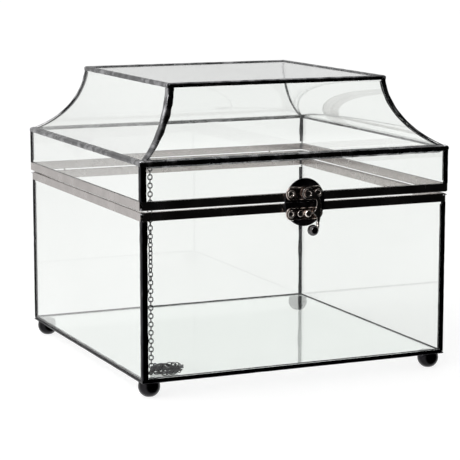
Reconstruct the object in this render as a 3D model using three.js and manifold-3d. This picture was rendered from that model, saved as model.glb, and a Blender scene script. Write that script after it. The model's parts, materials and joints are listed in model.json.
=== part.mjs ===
// A leaded-glass card box: a square glass base on ball feet and a hinged glass lid whose four
// concave panels rise to a flat top pane. Dark solder seams hold the panes, metal channels edge
// the opening, a swing hook closes the front and a fine chain keeps the lid from falling back.
// Millimetres, +Z up. The front faces -Y. z = 0 is the surface that the box stands on.
import * as THREE from 'three';
import { mergeVertices } from 'three/addons/utils/BufferGeometryUtils.js';
import Module from 'manifold-3d';

// Overall sizes, measured over the lid's metalwork
const WIDTH = 241.3;
const DEPTH = 241.3;
const HEIGHT = 215.9;

// Clearances
const GAP = 0.3; // between pieces that touch on the real box
const PIN_GAP = 0.25; // round a pin or wire that turns in its bore
const LID_GAP = 1.2; // between the two channels when the lid is down
const LID_OVERHANG = 1; // how far the lid stands out past the base on each side

// Glass and metalwork
const GLASS = 2;
const SKIN = 0.8; // thickness of foil and solder, and of a channel's walls
// How far each seam reaches over its two panes. They are run by hand, so no two are alike.
const SEAM_LEGS = { front_left: 4, front_right: 2.6, back_left: 1.4, back_right: 2.8 };
const HIP_LEGS = { front_left: 4.4, front_right: 3, back_left: 2, back_right: 2.6 };
const RIM_HEIGHT = 6.2;
const BOTTOM_LEG = 2.6; // height of the bottom frame on the walls
const FLOOR_LEG = 2.6; // its reach under the floor

// Base
const BASE_Z = 10.6; // underside of the bottom frame

// Lid
const BAND_HEIGHT = 33; // from the lid's lower edge up to the ledge
const ROOF_HEIGHT = 50.9; // from the ledge, where the curved panels start, up to the top
const TOP_INSET = 34.4; // from the lid's side to the edge of the top pane
const PANEL_RADIUS = 60;
const PANEL_STEPS = 14;
const PANE_SPLIT = 1.5; // from the ledge down to the joint between band and curved glass
const LEDGE_DROP = 3; // the ledge frame's reach down the band
const LEDGE_RISE = 1.5; // and up the curved panel
const TOP_DROP = 3.6; // the top frame's reach down the curved panel
const TOP_LEG = 3.2; // and over the top pane

// Feet: balls cut flat at the bottom and at the top
const FOOT_RADIUS = 7.8;
const FOOT_FLAT_RADIUS = 3;
const FOOT_INSET = 8.4;
const ROUND_STEPS = 20;

// Hinge at the back
const TUBE_RADIUS = 1.6;
const WIRE_RADIUS = 0.65;
const TUBE_LENGTH = 168;
const HINGE_RISE = 1; // axis above the lid's lower edge
const WIRE_REACH = 6; // from the tube's end to the wire's bend
const WIRE_DROP = 3.2; // from the base's top edge to where the wire is soldered on
const KNUCKLE = 1.02; // a bend's ball against the wire's radius

// Clasp, in layers outward from the lid's front. Its pieces are placed across from the middle of
// the backings.
const CLASP_X = 3.5;
const BACKING_HALF_WIDTH = 15.6;
const BACKING_HEIGHT = 17;
const BACKING = 1;
const PLATE = 0.8;
const PLATE_HALF_WIDTH = 14.4;
const PLATE_X = -0.8; // from the middle of the backings
const UPPER_PLATE_HEIGHT = 10;
const LOWER_PLATE_HEIGHT = 9.4;
const UPPER_PLATE_RISE = 0.9; // above the lid's lower edge
const LOWER_PLATE_DROP = 2.5; // below the base's upper edge
const RIVET_RADIUS = 2.8;
const RIVET_HEAD = 0.8;
const RIVET_INSET = 3.9; // from the plate's end
const HOOK = 1.4;
const PIVOT_X = 0.9;
const PIVOT_RADIUS = 1.3;
const PIVOT_HEAD_RADIUS = 3;
const PIVOT_HEAD = 0.8;
const EYE_RADIUS = 4.3;
const STUD_X = 1.2;
const STUD_RADIUS = 2.8;
const STUD_HEIGHT = 3;
const SCREW_X = -4.1;
const SCREW_RADIUS = 2.3;
const SCREW_SLOT = 0.7;
const BALL_RADIUS = 4;
const BALL_X = 1.3; // from the pivot
const BALL_DROP = 25.5;
const TAIL_RADIUS = 1.2;
const TAIL_START = [7.9, -21.2]; // from the pivot, across and up
const TAIL_BEND = [7.3, -24.4];
const TAIL_FORWARD = 1.4; // how far the bend stands out from the hook's plane
const DOME_EDGE = 0.4; // a domed head's straight edge, against its height
const DOME_SHOULDER = [0.7, 0.85]; // its shoulder's radius and height, against the whole
const EYELET_RIM = [0.8, 0.5]; // outer and inner radius of an eyelet's rim, against the whole
const EYELET_HOLLOW = [0.4, 0.6]; // radius and depth of its hollow
const PIVOT_CROWN = 0.75; // the pivot head's outer face against its radius

// Chain, hanging inside the front left corner, with its slack on the floor
const CHAIN_INSET = 11.65; // from the lid's outer faces
const CHAIN_RADIUS = 2;
const CHAIN_DROP = 4.8; // from the ledge to the chain's upper end
const CHAIN_LENGTHS = ['chain_upper', 'chain_mid', 'chain_low'];
const RING_RADIUS = 2;
const RING_WIRE = 0.6;
const ANCHOR_WIRE = 0.9;
const PILE_HALF_X = 11.5;
const PILE_HALF_Y = 10.5;
const PILE_HEIGHT = 6.4;
const PILE_SHIFT_X = 14.3; // from the chain to the middle of the pile
const PILE_SHIFT_Y = 3.4;
const PILE_EDGE = 0.25; // height of the pile's edge against its middle
const PILE_STEPS = 6;
const STATION = 10; // spacing of the cross-sections along a chain length

// Worked out from the values above
const lidHalf = [WIDTH / 2, DEPTH / 2];
const baseHalf = lidHalf.map((half) => half - LID_OVERHANG);
const ledgeZ = HEIGHT - ROOF_HEIGHT;
const lidZ = ledgeZ - BAND_HEIGHT;
const baseTopZ = lidZ - LID_GAP;
const glassInset = SKIN + GAP;
const channelDepth = 2 * SKIN + 2 * GAP + GLASS;
const floorGlassZ = BASE_Z + SKIN + GAP;
const floorZ = floorGlassZ + GLASS;
const paneSplitZ = ledgeZ - PANE_SPLIT;
const topGlassZ = HEIGHT - glassInset - GLASS;
const FAR = 400; // longer than anything in the box, for cutting blocks
const MARGIN = 5; // how far a cutting outline stands clear of what it cuts
const SKIRT = 40; // how far the lid's cutting body runs on below its lower edge

const wasm = await Module();
wasm.setup();

// ---- solids -------------------------------------------------------------------------------

function solid(geometry) {
  const bare = geometry.clone();
  bare.deleteAttribute('normal');
  bare.deleteAttribute('uv');
  const merged = mergeVertices(bare, 1e-4);
  const vertProperties = new Float32Array(merged.attributes.position.array);
  const triVerts = new Uint32Array(merged.index.array);
  return new wasm.Manifold(new wasm.Mesh({ numProp: 3, vertProperties, triVerts }));
}

function geometryOf(manifold) {
  const made = manifold.getMesh();
  const geometry = new THREE.BufferGeometry();
  geometry.setAttribute('position', new THREE.BufferAttribute(made.vertProperties, 3));
  geometry.setIndex(new THREE.BufferAttribute(made.triVerts, 1));
  geometry.computeVertexNormals();
  return geometry;
}

function block(x0, x1, y0, y1, z0, z1) {
  const geometry = new THREE.BoxGeometry(x1 - x0, y1 - y0, z1 - z0);
  geometry.translate((x0 + x1) / 2, (y0 + y1) / 2, (z0 + z1) / 2);
  return solid(geometry);
}

// A block centred on the box's axis, inset from the given half sizes
function centred(half, inset, z0, z1) {
  const [x, y] = half.map((size) => size - inset);
  return block(-x, x, -y, y, z0, z1);
}

function layer(z0, z1) {
  return block(-FAR, FAR, -FAR, FAR, z0, z1);
}

function ring(half, outer, inner, z0, z1) {
  return centred(half, outer, z0, z1).subtract(centred(half, inner, z0 - 1, z1 + 1));
}

function prism(points, z0, z1) {
  const outline = new THREE.Shape(points.map(([x, y]) => new THREE.Vector2(x, y)));
  const geometry = new THREE.ExtrudeGeometry(outline, { depth: z1 - z0, bevelEnabled: false });
  geometry.translate(0, 0, z0);
  return solid(geometry);
}

// ---- sides and corners ----------------------------------------------------------------------

const SIDES = { front: [0, -1], back: [0, 1], left: [-1, 0], right: [1, 0] };
const CORNERS = {
  front_left: [-1, -1],
  front_right: [1, -1],
  back_left: [-1, 1],
  back_right: [1, 1],
};

// The part of the plan that belongs to one side, mitred at 45 degrees into both corners
function sideWedge(half, side) {
  const [sx, sy] = SIDES[side];
  const [across, out] = sy === 0 ? [half[1], half[0]] : [half[0], half[1]];
  const reach = Math.min(across, out) - 1;
  const trim = GAP / Math.SQRT2;
  const local = [
    [-across - MARGIN + trim, -out - MARGIN],
    [across + MARGIN - trim, -out - MARGIN],
    [across - reach - trim, -out + reach],
    [reach - across + trim, -out + reach],
  ];
  const turn = Math.atan2(sy, sx) + Math.PI / 2;
  const [c, s] = [Math.cos(turn), Math.sin(turn)];
  return prism(local.map(([x, y]) => [x * c - y * s, x * s + y * c]), -FAR, FAR);
}

// A strip along one corner's mitre that reaches the given leg over both faces
function cornerStrip(half, corner, leg) {
  const [sx, sy] = CORNERS[corner];
  const [x, y] = [sx * half[0], sy * half[1]];
  const reach = Math.min(...half);
  const points = [
    [x + sx * MARGIN - sx * leg, y + sy * MARGIN],
    [x + sx * MARGIN, y + sy * MARGIN],
    [x + sx * MARGIN, y + sy * MARGIN - sy * leg],
    [x - sx * reach, y - sy * reach - sy * leg],
    [x - sx * reach - sx * leg, y - sy * reach],
  ];
  return prism(sx * sy > 0 ? points.reverse() : points, -FAR, FAR);
}

// ---- the lid's shape ------------------------------------------------------------------------

// The circle that a lid panel's outer surface follows, seen from the side: from the edge of the
// top pane, almost plumb, down to the ledge, where it flattens out. Its centre is outside.
function panelCircle(half) {
  const top = new THREE.Vector2(half - TOP_INSET, HEIGHT);
  const ledge = new THREE.Vector2(half, ledgeZ);
  const chord = ledge.clone().sub(top);
  const back = Math.sqrt(PANEL_RADIUS ** 2 - chord.lengthSq() / 4);
  const outward = new THREE.Vector2(-chord.y, chord.x).normalize();
  return top.add(chord.multiplyScalar(0.5)).add(outward.multiplyScalar(back));
}

// Half of the lid's section, this far inside its outer surface
function lidProfile(half, inset) {
  const centre = panelCircle(half);
  const radius = PANEL_RADIUS + inset;
  const wall = half - inset;
  const top = HEIGHT - inset;
  const start = Math.asin((centre.y - top) / radius);
  const end = Math.acos((centre.x - wall) / radius);
  const points = [new THREE.Vector2(0, top)];
  for (let i = 0; i <= PANEL_STEPS; i += 1) {
    const angle = start + ((end - start) * i) / PANEL_STEPS;
    const across = centre.x - radius * Math.cos(angle);
    points.push(new THREE.Vector2(across, centre.y - radius * Math.sin(angle)));
  }
  points.push(new THREE.Vector2(wall, lidZ - SKIRT));
  points.push(new THREE.Vector2(0, lidZ - SKIRT));
  return points;
}

function lidPrism(half, inset) {
  const right = lidProfile(half, inset);
  const left = right.slice(1, -1).map((point) => new THREE.Vector2(-point.x, point.y));
  const outline = new THREE.Shape([...right.slice(1, -1).reverse(), ...left]);
  const geometry = new THREE.ExtrudeGeometry(outline, { depth: 2 * FAR, bevelEnabled: false });
  geometry.translate(0, 0, -FAR);
  geometry.rotateX(Math.PI / 2);
  return geometry;
}

// Everything inside the lid's outer surface, less the inset: two crossing prisms
function lidBody(inset) {
  const frontToBack = solid(lidPrism(lidHalf[0], inset));
  const sideToSide = lidPrism(lidHalf[1], inset);
  sideToSide.rotateZ(Math.PI / 2);
  return frontToBack.intersect(solid(sideToSide));
}

const lidSkin = lidBody(0).subtract(lidBody(SKIN));
const lidGlass = lidBody(glassInset).subtract(lidBody(glassInset + GLASS));

// ---- materials ------------------------------------------------------------------------------

function finish(color, roughness, metalness, extra = {}) {
  return new THREE.MeshStandardMaterial({ color, roughness, metalness, ...extra });
}

const glass = finish(0xeef4f1, 0.03, 0, { transparent: true, opacity: 0.3 });
const solder = finish(0x1d1c1c, 0.25, 1);
const channel = finish(0x232120, 0.3, 1);
const latchMetal = finish(0x2e2824, 0.28, 1);
const chainMetal = finish(0x4b4a4d, 0.3, 1);
const hingeMetal = finish(0x3a342c, 0.35, 1);

function part(name, shape, material, place = [0, 0, 0]) {
  const geometry = shape.isBufferGeometry ? shape : geometryOf(shape);
  const mesh = new THREE.Mesh(geometry, material);
  mesh.name = name;
  mesh.position.set(...place);
  return mesh;
}

// ---- base -----------------------------------------------------------------------------------

function floorGlass() {
  return centred(baseHalf, glassInset, floorGlassZ, floorZ);
}

function baseGlass(side) {
  const topZ = baseTopZ - SKIN - GAP;
  const walls = ring(baseHalf, glassInset, glassInset + GLASS, floorZ + GAP, topZ);
  return walls.intersect(sideWedge(baseHalf, side));
}

function bottomFrame() {
  const outer = centred(baseHalf, 0, BASE_Z, BASE_Z + BOTTOM_LEG);
  const seat = centred(baseHalf, SKIN, BASE_Z + SKIN, BASE_Z + 2 * BOTTOM_LEG);
  const view = centred(baseHalf, FLOOR_LEG, BASE_Z - 1, BASE_Z + BOTTOM_LEG);
  return outer.subtract(seat).subtract(view);
}

function baseSeam(corner) {
  const low = BASE_Z + BOTTOM_LEG + GAP;
  const high = baseTopZ - RIM_HEIGHT - GAP;
  return ring(baseHalf, 0, SKIN, low, high).intersect(cornerStrip(baseHalf, corner, SEAM_LEGS[corner]));
}

// A U-shaped channel along one side that grips the glass. Its closed side is at webZ, and it
// opens towards openZ.
function rimChannel(half, side, webZ, openZ) {
  const inward = Math.sign(openZ - webZ);
  const bar = ring(half, 0, channelDepth, Math.min(webZ, openZ), Math.max(webZ, openZ));
  const slotEnds = [webZ + inward * SKIN, openZ + inward].sort((a, b) => a - b);
  const slot = ring(half, SKIN, channelDepth - SKIN, ...slotEnds);
  return bar.subtract(slot).intersect(sideWedge(half, side));
}

function foot() {
  const middle = Math.sqrt(FOOT_RADIUS ** 2 - FOOT_FLAT_RADIUS ** 2);
  const top = BASE_Z - GAP;
  const start = Math.asin(-middle / FOOT_RADIUS);
  const end = Math.asin((top - middle) / FOOT_RADIUS);
  const points = [new THREE.Vector2(0, 0)];
  const steps = ROUND_STEPS / 2;
  for (let i = 0; i <= steps; i += 1) {
    const angle = start + ((end - start) * i) / steps;
    const radius = FOOT_RADIUS * Math.cos(angle);
    points.push(new THREE.Vector2(radius, Math.max(0, middle + FOOT_RADIUS * Math.sin(angle))));
  }
  points.push(new THREE.Vector2(0, top));
  return new THREE.LatheGeometry(points, ROUND_STEPS).rotateX(Math.PI / 2);
}

function baseParts() {
  const base = new THREE.Group();
  base.add(part('floor_glass', floorGlass(), glass));
  base.add(part('base_bottom_frame', bottomFrame(), solder));
  for (const side of Object.keys(SIDES)) {
    const rim = rimChannel(baseHalf, side, baseTopZ, baseTopZ - RIM_HEIGHT);
    base.add(part(`base_glass_${side}`, baseGlass(side), glass));
    base.add(part(`base_rim_${side}`, rim, channel));
  }
  const footGeometry = foot();
  for (const [corner, [sx, sy]] of Object.entries(CORNERS)) {
    const place = [sx * (baseHalf[0] - FOOT_INSET), sy * (baseHalf[1] - FOOT_INSET), 0];
    base.add(part(`base_seam_${corner}`, baseSeam(corner), solder));
    base.add(part(`foot_${corner}`, footGeometry, solder, place));
  }
  return base;
}

// ---- lid ------------------------------------------------------------------------------------

function bandGlass(side) {
  const low = lidZ + SKIN + GAP;
  return lidGlass.intersect(layer(low, paneSplitZ)).intersect(sideWedge(lidHalf, side));
}

function curvedGlass(side) {
  const upright = layer(paneSplitZ + GAP, topGlassZ - GAP);
  return lidGlass.intersect(upright).intersect(sideWedge(lidHalf, side));
}

function lidSeam(corner, low, high, leg) {
  return lidSkin.intersect(layer(low, high)).intersect(cornerStrip(lidHalf, corner, leg));
}

function topFrame() {
  const inset = TOP_INSET + TOP_LEG;
  const view = centred(lidHalf, inset, HEIGHT - TOP_LEG, HEIGHT + 1);
  return lidSkin.intersect(layer(HEIGHT - TOP_DROP, HEIGHT + 1)).subtract(view);
}

function lidParts() {
  const lid = new THREE.Group();
  const ledgeLow = ledgeZ - LEDGE_DROP;
  const ledgeHigh = ledgeZ + LEDGE_RISE;
  for (const side of Object.keys(SIDES)) {
    const rim = rimChannel(lidHalf, side, lidZ, lidZ + RIM_HEIGHT);
    lid.add(part(`lid_rim_${side}`, rim, channel));
    lid.add(part(`lid_band_glass_${side}`, bandGlass(side), glass));
    lid.add(part(`lid_curved_glass_${side}`, curvedGlass(side), glass));
  }
  for (const corner of Object.keys(CORNERS)) {
    const band = lidSeam(corner, lidZ + RIM_HEIGHT + GAP, ledgeLow - GAP, SEAM_LEGS[corner]);
    const hip = lidSeam(corner, ledgeHigh + GAP, HEIGHT - TOP_DROP - GAP, HIP_LEGS[corner]);
    lid.add(part(`lid_band_seam_${corner}`, band, solder));
    lid.add(part(`lid_hip_seam_${corner}`, hip, solder));
  }
  lid.add(part('lid_ledge_frame', lidSkin.intersect(layer(ledgeLow, ledgeHigh)), solder));
  lid.add(part('lid_top_frame', topFrame(), solder));
  const pane = lidBody(glassInset).intersect(layer(topGlassZ, HEIGHT));
  lid.add(part('lid_top_glass', pane, glass));
  return lid;
}

// ---- hinge ----------------------------------------------------------------------------------

const hingeY = lidHalf[1] + GAP + TUBE_RADIUS;
const hingeZ = lidZ + HINGE_RISE;

// A bent wire: straight rods with a ball at each bend
function bentWire(points, radius) {
  const places = points.map((point) => new THREE.Vector3(...point));
  const up = new THREE.Vector3(0, 1, 0);
  const pieces = [];
  places.slice(1).forEach((place, i) => {
    const run = place.clone().sub(places[i]);
    const rod = new THREE.CylinderGeometry(radius, radius, run.length(), ROUND_STEPS / 2);
    const turn = new THREE.Quaternion().setFromUnitVectors(up, run.clone().normalize());
    rod.applyQuaternion(turn);
    rod.translate(...places[i].clone().addScaledVector(run, 0.5).toArray());
    pieces.push(solid(rod));
  });
  places.slice(1, -1).forEach((place) => {
    const knuckle = new THREE.SphereGeometry(radius * KNUCKLE, ROUND_STEPS / 2, 6);
    pieces.push(solid(knuckle.translate(...place.toArray())));
  });
  return pieces.reduce((joined, piece) => joined.add(piece));
}

function hingeTube() {
  const outline = new THREE.Shape().absarc(0, 0, TUBE_RADIUS, 0, 2 * Math.PI);
  outline.holes.push(new THREE.Path().absarc(0, 0, WIRE_RADIUS + PIN_GAP, 0, 2 * Math.PI, true));
  const options = { depth: TUBE_LENGTH, bevelEnabled: false, curveSegments: ROUND_STEPS };
  const geometry = new THREE.ExtrudeGeometry(outline, options);
  return geometry.translate(0, 0, -TUBE_LENGTH / 2).rotateY(Math.PI / 2);
}

function hingeWire() {
  const x = TUBE_LENGTH / 2 + WIRE_REACH;
  const z = baseTopZ - WIRE_DROP - hingeZ;
  const y = baseHalf[1] + GAP - hingeY;
  return bentWire([[-x, y, z], [-x, 0, z], [-x, 0, 0], [x, 0, 0], [x, 0, z], [x, y, z]], WIRE_RADIUS);
}

// ---- clasp ----------------------------------------------------------------------------------

const plateFront = GAP + BACKING + GAP + PLATE;
const hookBack = plateFront + GAP + RIVET_HEAD + GAP;
const pivotZ = lidZ + UPPER_PLATE_RISE + UPPER_PLATE_HEIGHT / 2;
const studZ = baseTopZ - LOWER_PLATE_DROP - LOWER_PLATE_HEIGHT / 2;
const studTip = plateFront + GAP + STUD_HEIGHT;
const ballOut = studTip + GAP + BALL_RADIUS;

// An outline in the plane of the front, made into a plate that stands out towards -Y
function plate(outline, back, thickness, steps = ROUND_STEPS / 2) {
  const options = { depth: thickness, bevelEnabled: false, curveSegments: steps };
  const geometry = new THREE.ExtrudeGeometry(outline, options);
  return geometry.translate(0, 0, back).rotateX(Math.PI / 2);
}

// A turned piece on an axis towards -Y; each point is [radius, distance out]
function turned(points) {
  const profile = points.map(([radius, out]) => new THREE.Vector2(radius, out));
  return new THREE.LatheGeometry(profile, ROUND_STEPS).rotateX(Math.PI);
}

function halfDisc(up) {
  const outline = new THREE.Shape();
  const [from, to] = up > 0 ? [0, Math.PI] : [Math.PI, 2 * Math.PI];
  outline.absellipse(0, 0, BACKING_HALF_WIDTH, BACKING_HEIGHT, from, to);
  outline.closePath();
  return outline;
}

function stadium(halfWidth, height) {
  const radius = height / 2;
  const outline = new THREE.Shape();
  outline.absarc(halfWidth - radius, 0, radius, -Math.PI / 2, Math.PI / 2);
  outline.absarc(radius - halfWidth, 0, radius, Math.PI / 2, (3 * Math.PI) / 2);
  outline.closePath();
  return outline;
}

function domed(radius, height, back) {
  const [shoulder, rise] = DOME_SHOULDER;
  const points = [[0, back], [radius, back], [radius, back + height * DOME_EDGE]];
  points.push([radius * shoulder, back + height * rise], [0, back + height]);
  return turned(points);
}

// An eyelet: a rivet with a hollow in its head
function eyelet(back) {
  const rise = back + RIVET_HEAD;
  const [outer, inner] = EYELET_RIM.map((share) => share * RIVET_RADIUS);
  const [hollow, depth] = [EYELET_HOLLOW[0] * RIVET_RADIUS, EYELET_HOLLOW[1] * RIVET_HEAD];
  const points = [[0, back], [RIVET_RADIUS, back], [outer, rise], [inner, rise]];
  points.push([hollow, rise - depth], [0, rise - depth]);
  return turned(points);
}

function slottedScrew(back) {
  const head = solid(domed(SCREW_RADIUS, RIVET_HEAD, back));
  const half = SCREW_SLOT / 2;
  const deep = back + RIVET_HEAD / 2;
  const slot = block(-SCREW_RADIUS, SCREW_RADIUS, -back - RIVET_HEAD - 1, -deep, -half, half);
  return head.subtract(slot);
}

function hookPivot() {
  const shoulder = hookBack - GAP;
  const neck = hookBack + HOOK + GAP;
  const start = plateFront + GAP;
  const points = [[0, start], [PIVOT_HEAD_RADIUS, start], [PIVOT_HEAD_RADIUS, shoulder]];
  points.push([PIVOT_RADIUS, shoulder], [PIVOT_RADIUS, neck], [PIVOT_HEAD_RADIUS, neck]);
  points.push([PIVOT_HEAD_RADIUS * PIVOT_CROWN, neck + PIVOT_HEAD], [0, neck + PIVOT_HEAD]);
  return turned(points);
}

// The swing hook, with the pivot at its origin. Its eye runs into an arm that bows out to the
// right and back in to a tooth beside the stud, and then into the tail that carries the ball.
function hookOutline() {
  const outline = new THREE.Shape();
  outline.absarc(0, 0, EYE_RADIUS, Math.PI / 5, (3 * Math.PI) / 2);
  outline.lineTo(4.6, -EYE_RADIUS);
  outline.bezierCurveTo(6.4, -EYE_RADIUS, 7, -5.4, 6.9, -8);
  outline.bezierCurveTo(6.8, -10.8, 5.6, -12.6, 3.5, -14.2);
  outline.bezierCurveTo(5, -15, 7, -16.4, 7.3, -19.4);
  outline.bezierCurveTo(7.3, -20.4, 7.2, -21.2, 6.8, -22.2);
  outline.lineTo(8.8, -22.2);
  outline.bezierCurveTo(10, -18, 10.6, -13, 10.4, -9);
  outline.bezierCurveTo(10.2, -4, 7.6, -0.6, EYE_RADIUS * Math.cos(Math.PI / 5),
    EYE_RADIUS * Math.sin(Math.PI / 5));
  outline.holes.push(new THREE.Path().absarc(0, 0, PIVOT_RADIUS + PIN_GAP, 0, 2 * Math.PI, true));
  return outline;
}

function latchHook() {
  const body = solid(plate(hookOutline(), hookBack, HOOK, 8));
  const middle = -(hookBack + HOOK / 2);
  const ball = new THREE.SphereGeometry(BALL_RADIUS, ROUND_STEPS, ROUND_STEPS / 2);
  ball.translate(BALL_X, -ballOut, -BALL_DROP);
  const start = [TAIL_START[0], middle, TAIL_START[1]];
  const bend = [TAIL_BEND[0], middle - TAIL_FORWARD, TAIL_BEND[1]];
  const tail = bentWire([start, bend, [BALL_X, -ballOut, -BALL_DROP]], TAIL_RADIUS);
  return body.add(tail).add(solid(ball));
}

function backing(up) {
  const face = up > 0 ? lidHalf[1] : baseHalf[1];
  const thickness = BACKING + lidHalf[1] - face;
  const shift = up > 0 ? 0 : -LID_OVERHANG;
  return plate(halfDisc(up), GAP + shift, thickness, ROUND_STEPS);
}

function claspParts() {
  const clasp = new THREE.Group();
  clasp.position.set(CLASP_X, -lidHalf[1], 0);
  const back = GAP + BACKING + GAP;
  const upper = stadium(PLATE_HALF_WIDTH, UPPER_PLATE_HEIGHT);
  const lower = stadium(PLATE_HALF_WIDTH, LOWER_PLATE_HEIGHT);
  const rivetX = PLATE_HALF_WIDTH - RIVET_INSET;
  const lap = (LID_GAP - GAP) / 2; // the backings reach over the gap between the channels
  const rivet = eyelet(plateFront + GAP);
  const screw = slottedScrew(plateFront + GAP);
  const stud = domed(STUD_RADIUS, STUD_HEIGHT, plateFront + GAP);
  clasp.add(part('latch_backing_upper', backing(1), solder, [0, 0, lidZ - lap]));
  clasp.add(part('latch_backing_lower', backing(-1), solder, [0, 0, baseTopZ + lap]));
  clasp.add(part('latch_plate_upper', plate(upper, back, PLATE), latchMetal, [PLATE_X, 0, pivotZ]));
  clasp.add(part('latch_plate_lower', plate(lower, back, PLATE), latchMetal, [PLATE_X, 0, studZ]));
  clasp.add(part('latch_rivet_upper_left', rivet, latchMetal, [PLATE_X - rivetX, 0, pivotZ]));
  clasp.add(part('latch_rivet_upper_right', rivet, latchMetal, [PLATE_X + rivetX, 0, pivotZ]));
  clasp.add(part('latch_rivet_lower', rivet, latchMetal, [PLATE_X - rivetX, 0, studZ]));
  clasp.add(part('latch_screw_lower', screw, latchMetal, [SCREW_X, 0, studZ]));
  clasp.add(part('latch_stud', stud, latchMetal, [STUD_X, 0, studZ]));
  clasp.add(part('hook_pivot', hookPivot(), latchMetal, [PIVOT_X, 0, pivotZ]));
  clasp.add(part('latch_hook', latchHook(), latchMetal, [PIVOT_X, 0, pivotZ]));
  return clasp;
}

// ---- chain ----------------------------------------------------------------------------------

const chainX = CHAIN_INSET - lidHalf[0];
const chainY = CHAIN_INSET - lidHalf[1];
const chainTopZ = ledgeZ - CHAIN_DROP;
const baseRingZ = floorZ + GAP + RING_RADIUS + RING_WIRE;
const chainBottomZ = baseRingZ + RING_RADIUS + RING_WIRE + GAP;

function chainTube(length) {
  const section = new THREE.Shape();
  section.absarc(0, 0, CHAIN_RADIUS, 0, 2 * Math.PI);
  const line = new THREE.LineCurve3(new THREE.Vector3(), new THREE.Vector3(0, 0, -length));
  const steps = Math.round(length / STATION);
  return new THREE.ExtrudeGeometry(section, { steps, extrudePath: line, curveSegments: 4 });
}

// A wire out of a corner that ends in an upright ring, which holds the chain's last link
function anchor(cornerOffset, rise) {
  const tip = -RING_RADIUS / Math.SQRT2;
  const wire = bentWire([[-cornerOffset, -cornerOffset, rise], [tip, tip, 0]], ANCHOR_WIRE);
  const loop = new THREE.TorusGeometry(RING_RADIUS, RING_WIRE, 8, ROUND_STEPS);
  return wire.add(solid(loop.rotateX(Math.PI / 2).rotateZ(Math.PI / 4)));
}

function pileProfile() {
  const points = [new THREE.Vector2(0, 0)];
  for (let i = 0; i <= PILE_STEPS; i += 1) {
    const angle = (i / PILE_STEPS) * (Math.PI / 2);
    const height = PILE_EDGE + (1 - PILE_EDGE) * Math.sin(angle);
    points.push(new THREE.Vector2(Math.cos(angle), i === 0 ? 0 : height));
  }
  points[points.length - 1].x = 0;
  return points;
}

function chainPile() {
  const mound = new THREE.LatheGeometry(pileProfile(), ROUND_STEPS).rotateX(Math.PI / 2);
  return mound.scale(PILE_HALF_X, PILE_HALF_Y, PILE_HEIGHT);
}

function chainParts() {
  const chain = new THREE.Group();
  chain.position.set(chainX, chainY, 0);
  const share = (chainTopZ - chainBottomZ) / CHAIN_LENGTHS.length;
  CHAIN_LENGTHS.forEach((name, i) => {
    const tube = chainTube(share - GAP);
    chain.add(part(name, tube, chainMetal, [0, 0, chainTopZ - i * share]));
  });
  const out = 2 * GAP;
  const lidReach = CHAIN_INSET - glassInset - GLASS - out - ANCHOR_WIRE;
  const baseReach = lidReach - LID_OVERHANG;
  const lidRingZ = chainTopZ + RING_RADIUS + RING_WIRE + GAP;
  const pilePlace = [PILE_SHIFT_X, PILE_SHIFT_Y, floorZ + GAP];
  chain.add(part('chain_anchor_lid', anchor(lidReach, -1), solder, [0, 0, lidRingZ]));
  chain.add(part('chain_anchor_base', anchor(baseReach, 0), solder, [0, 0, baseRingZ]));
  chain.add(part('chain_pile', chainPile(), chainMetal, pilePlace));
  return chain;
}

// ---- the whole box, centred between the hook's ball and the hinge tube -------------------------

const model = new THREE.Group();
const hinge = new THREE.Group();
hinge.position.set(0, hingeY, hingeZ);
hinge.add(part('hinge_tube', hingeTube(), hingeMetal), part('hinge_wire', hingeWire(), hingeMetal));
model.add(baseParts(), lidParts(), hinge, claspParts(), chainParts());
const frontReach = lidHalf[1] + ballOut + BALL_RADIUS;
const backReach = hingeY + TUBE_RADIUS;
model.position.y = (frontReach - backReach) / 2;

export default model;
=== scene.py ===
# %% [markdown]
# # A leaded-glass card box
#
# The object is a square glass box with a hinged lid. Its panes are held by dark solder seams, the
# way stained glass is made, and metal channels edge the opening. A swing hook closes the front and
# a fine chain inside the near corner stops the lid from falling back.
#
# The engineering model comes first: it is loaded as a frame that is never moved. Everything made
# here is placed by the frame's own boxes, so that it rides correctly when the lid opens.

# %% Load the frame
import json
import math

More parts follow.
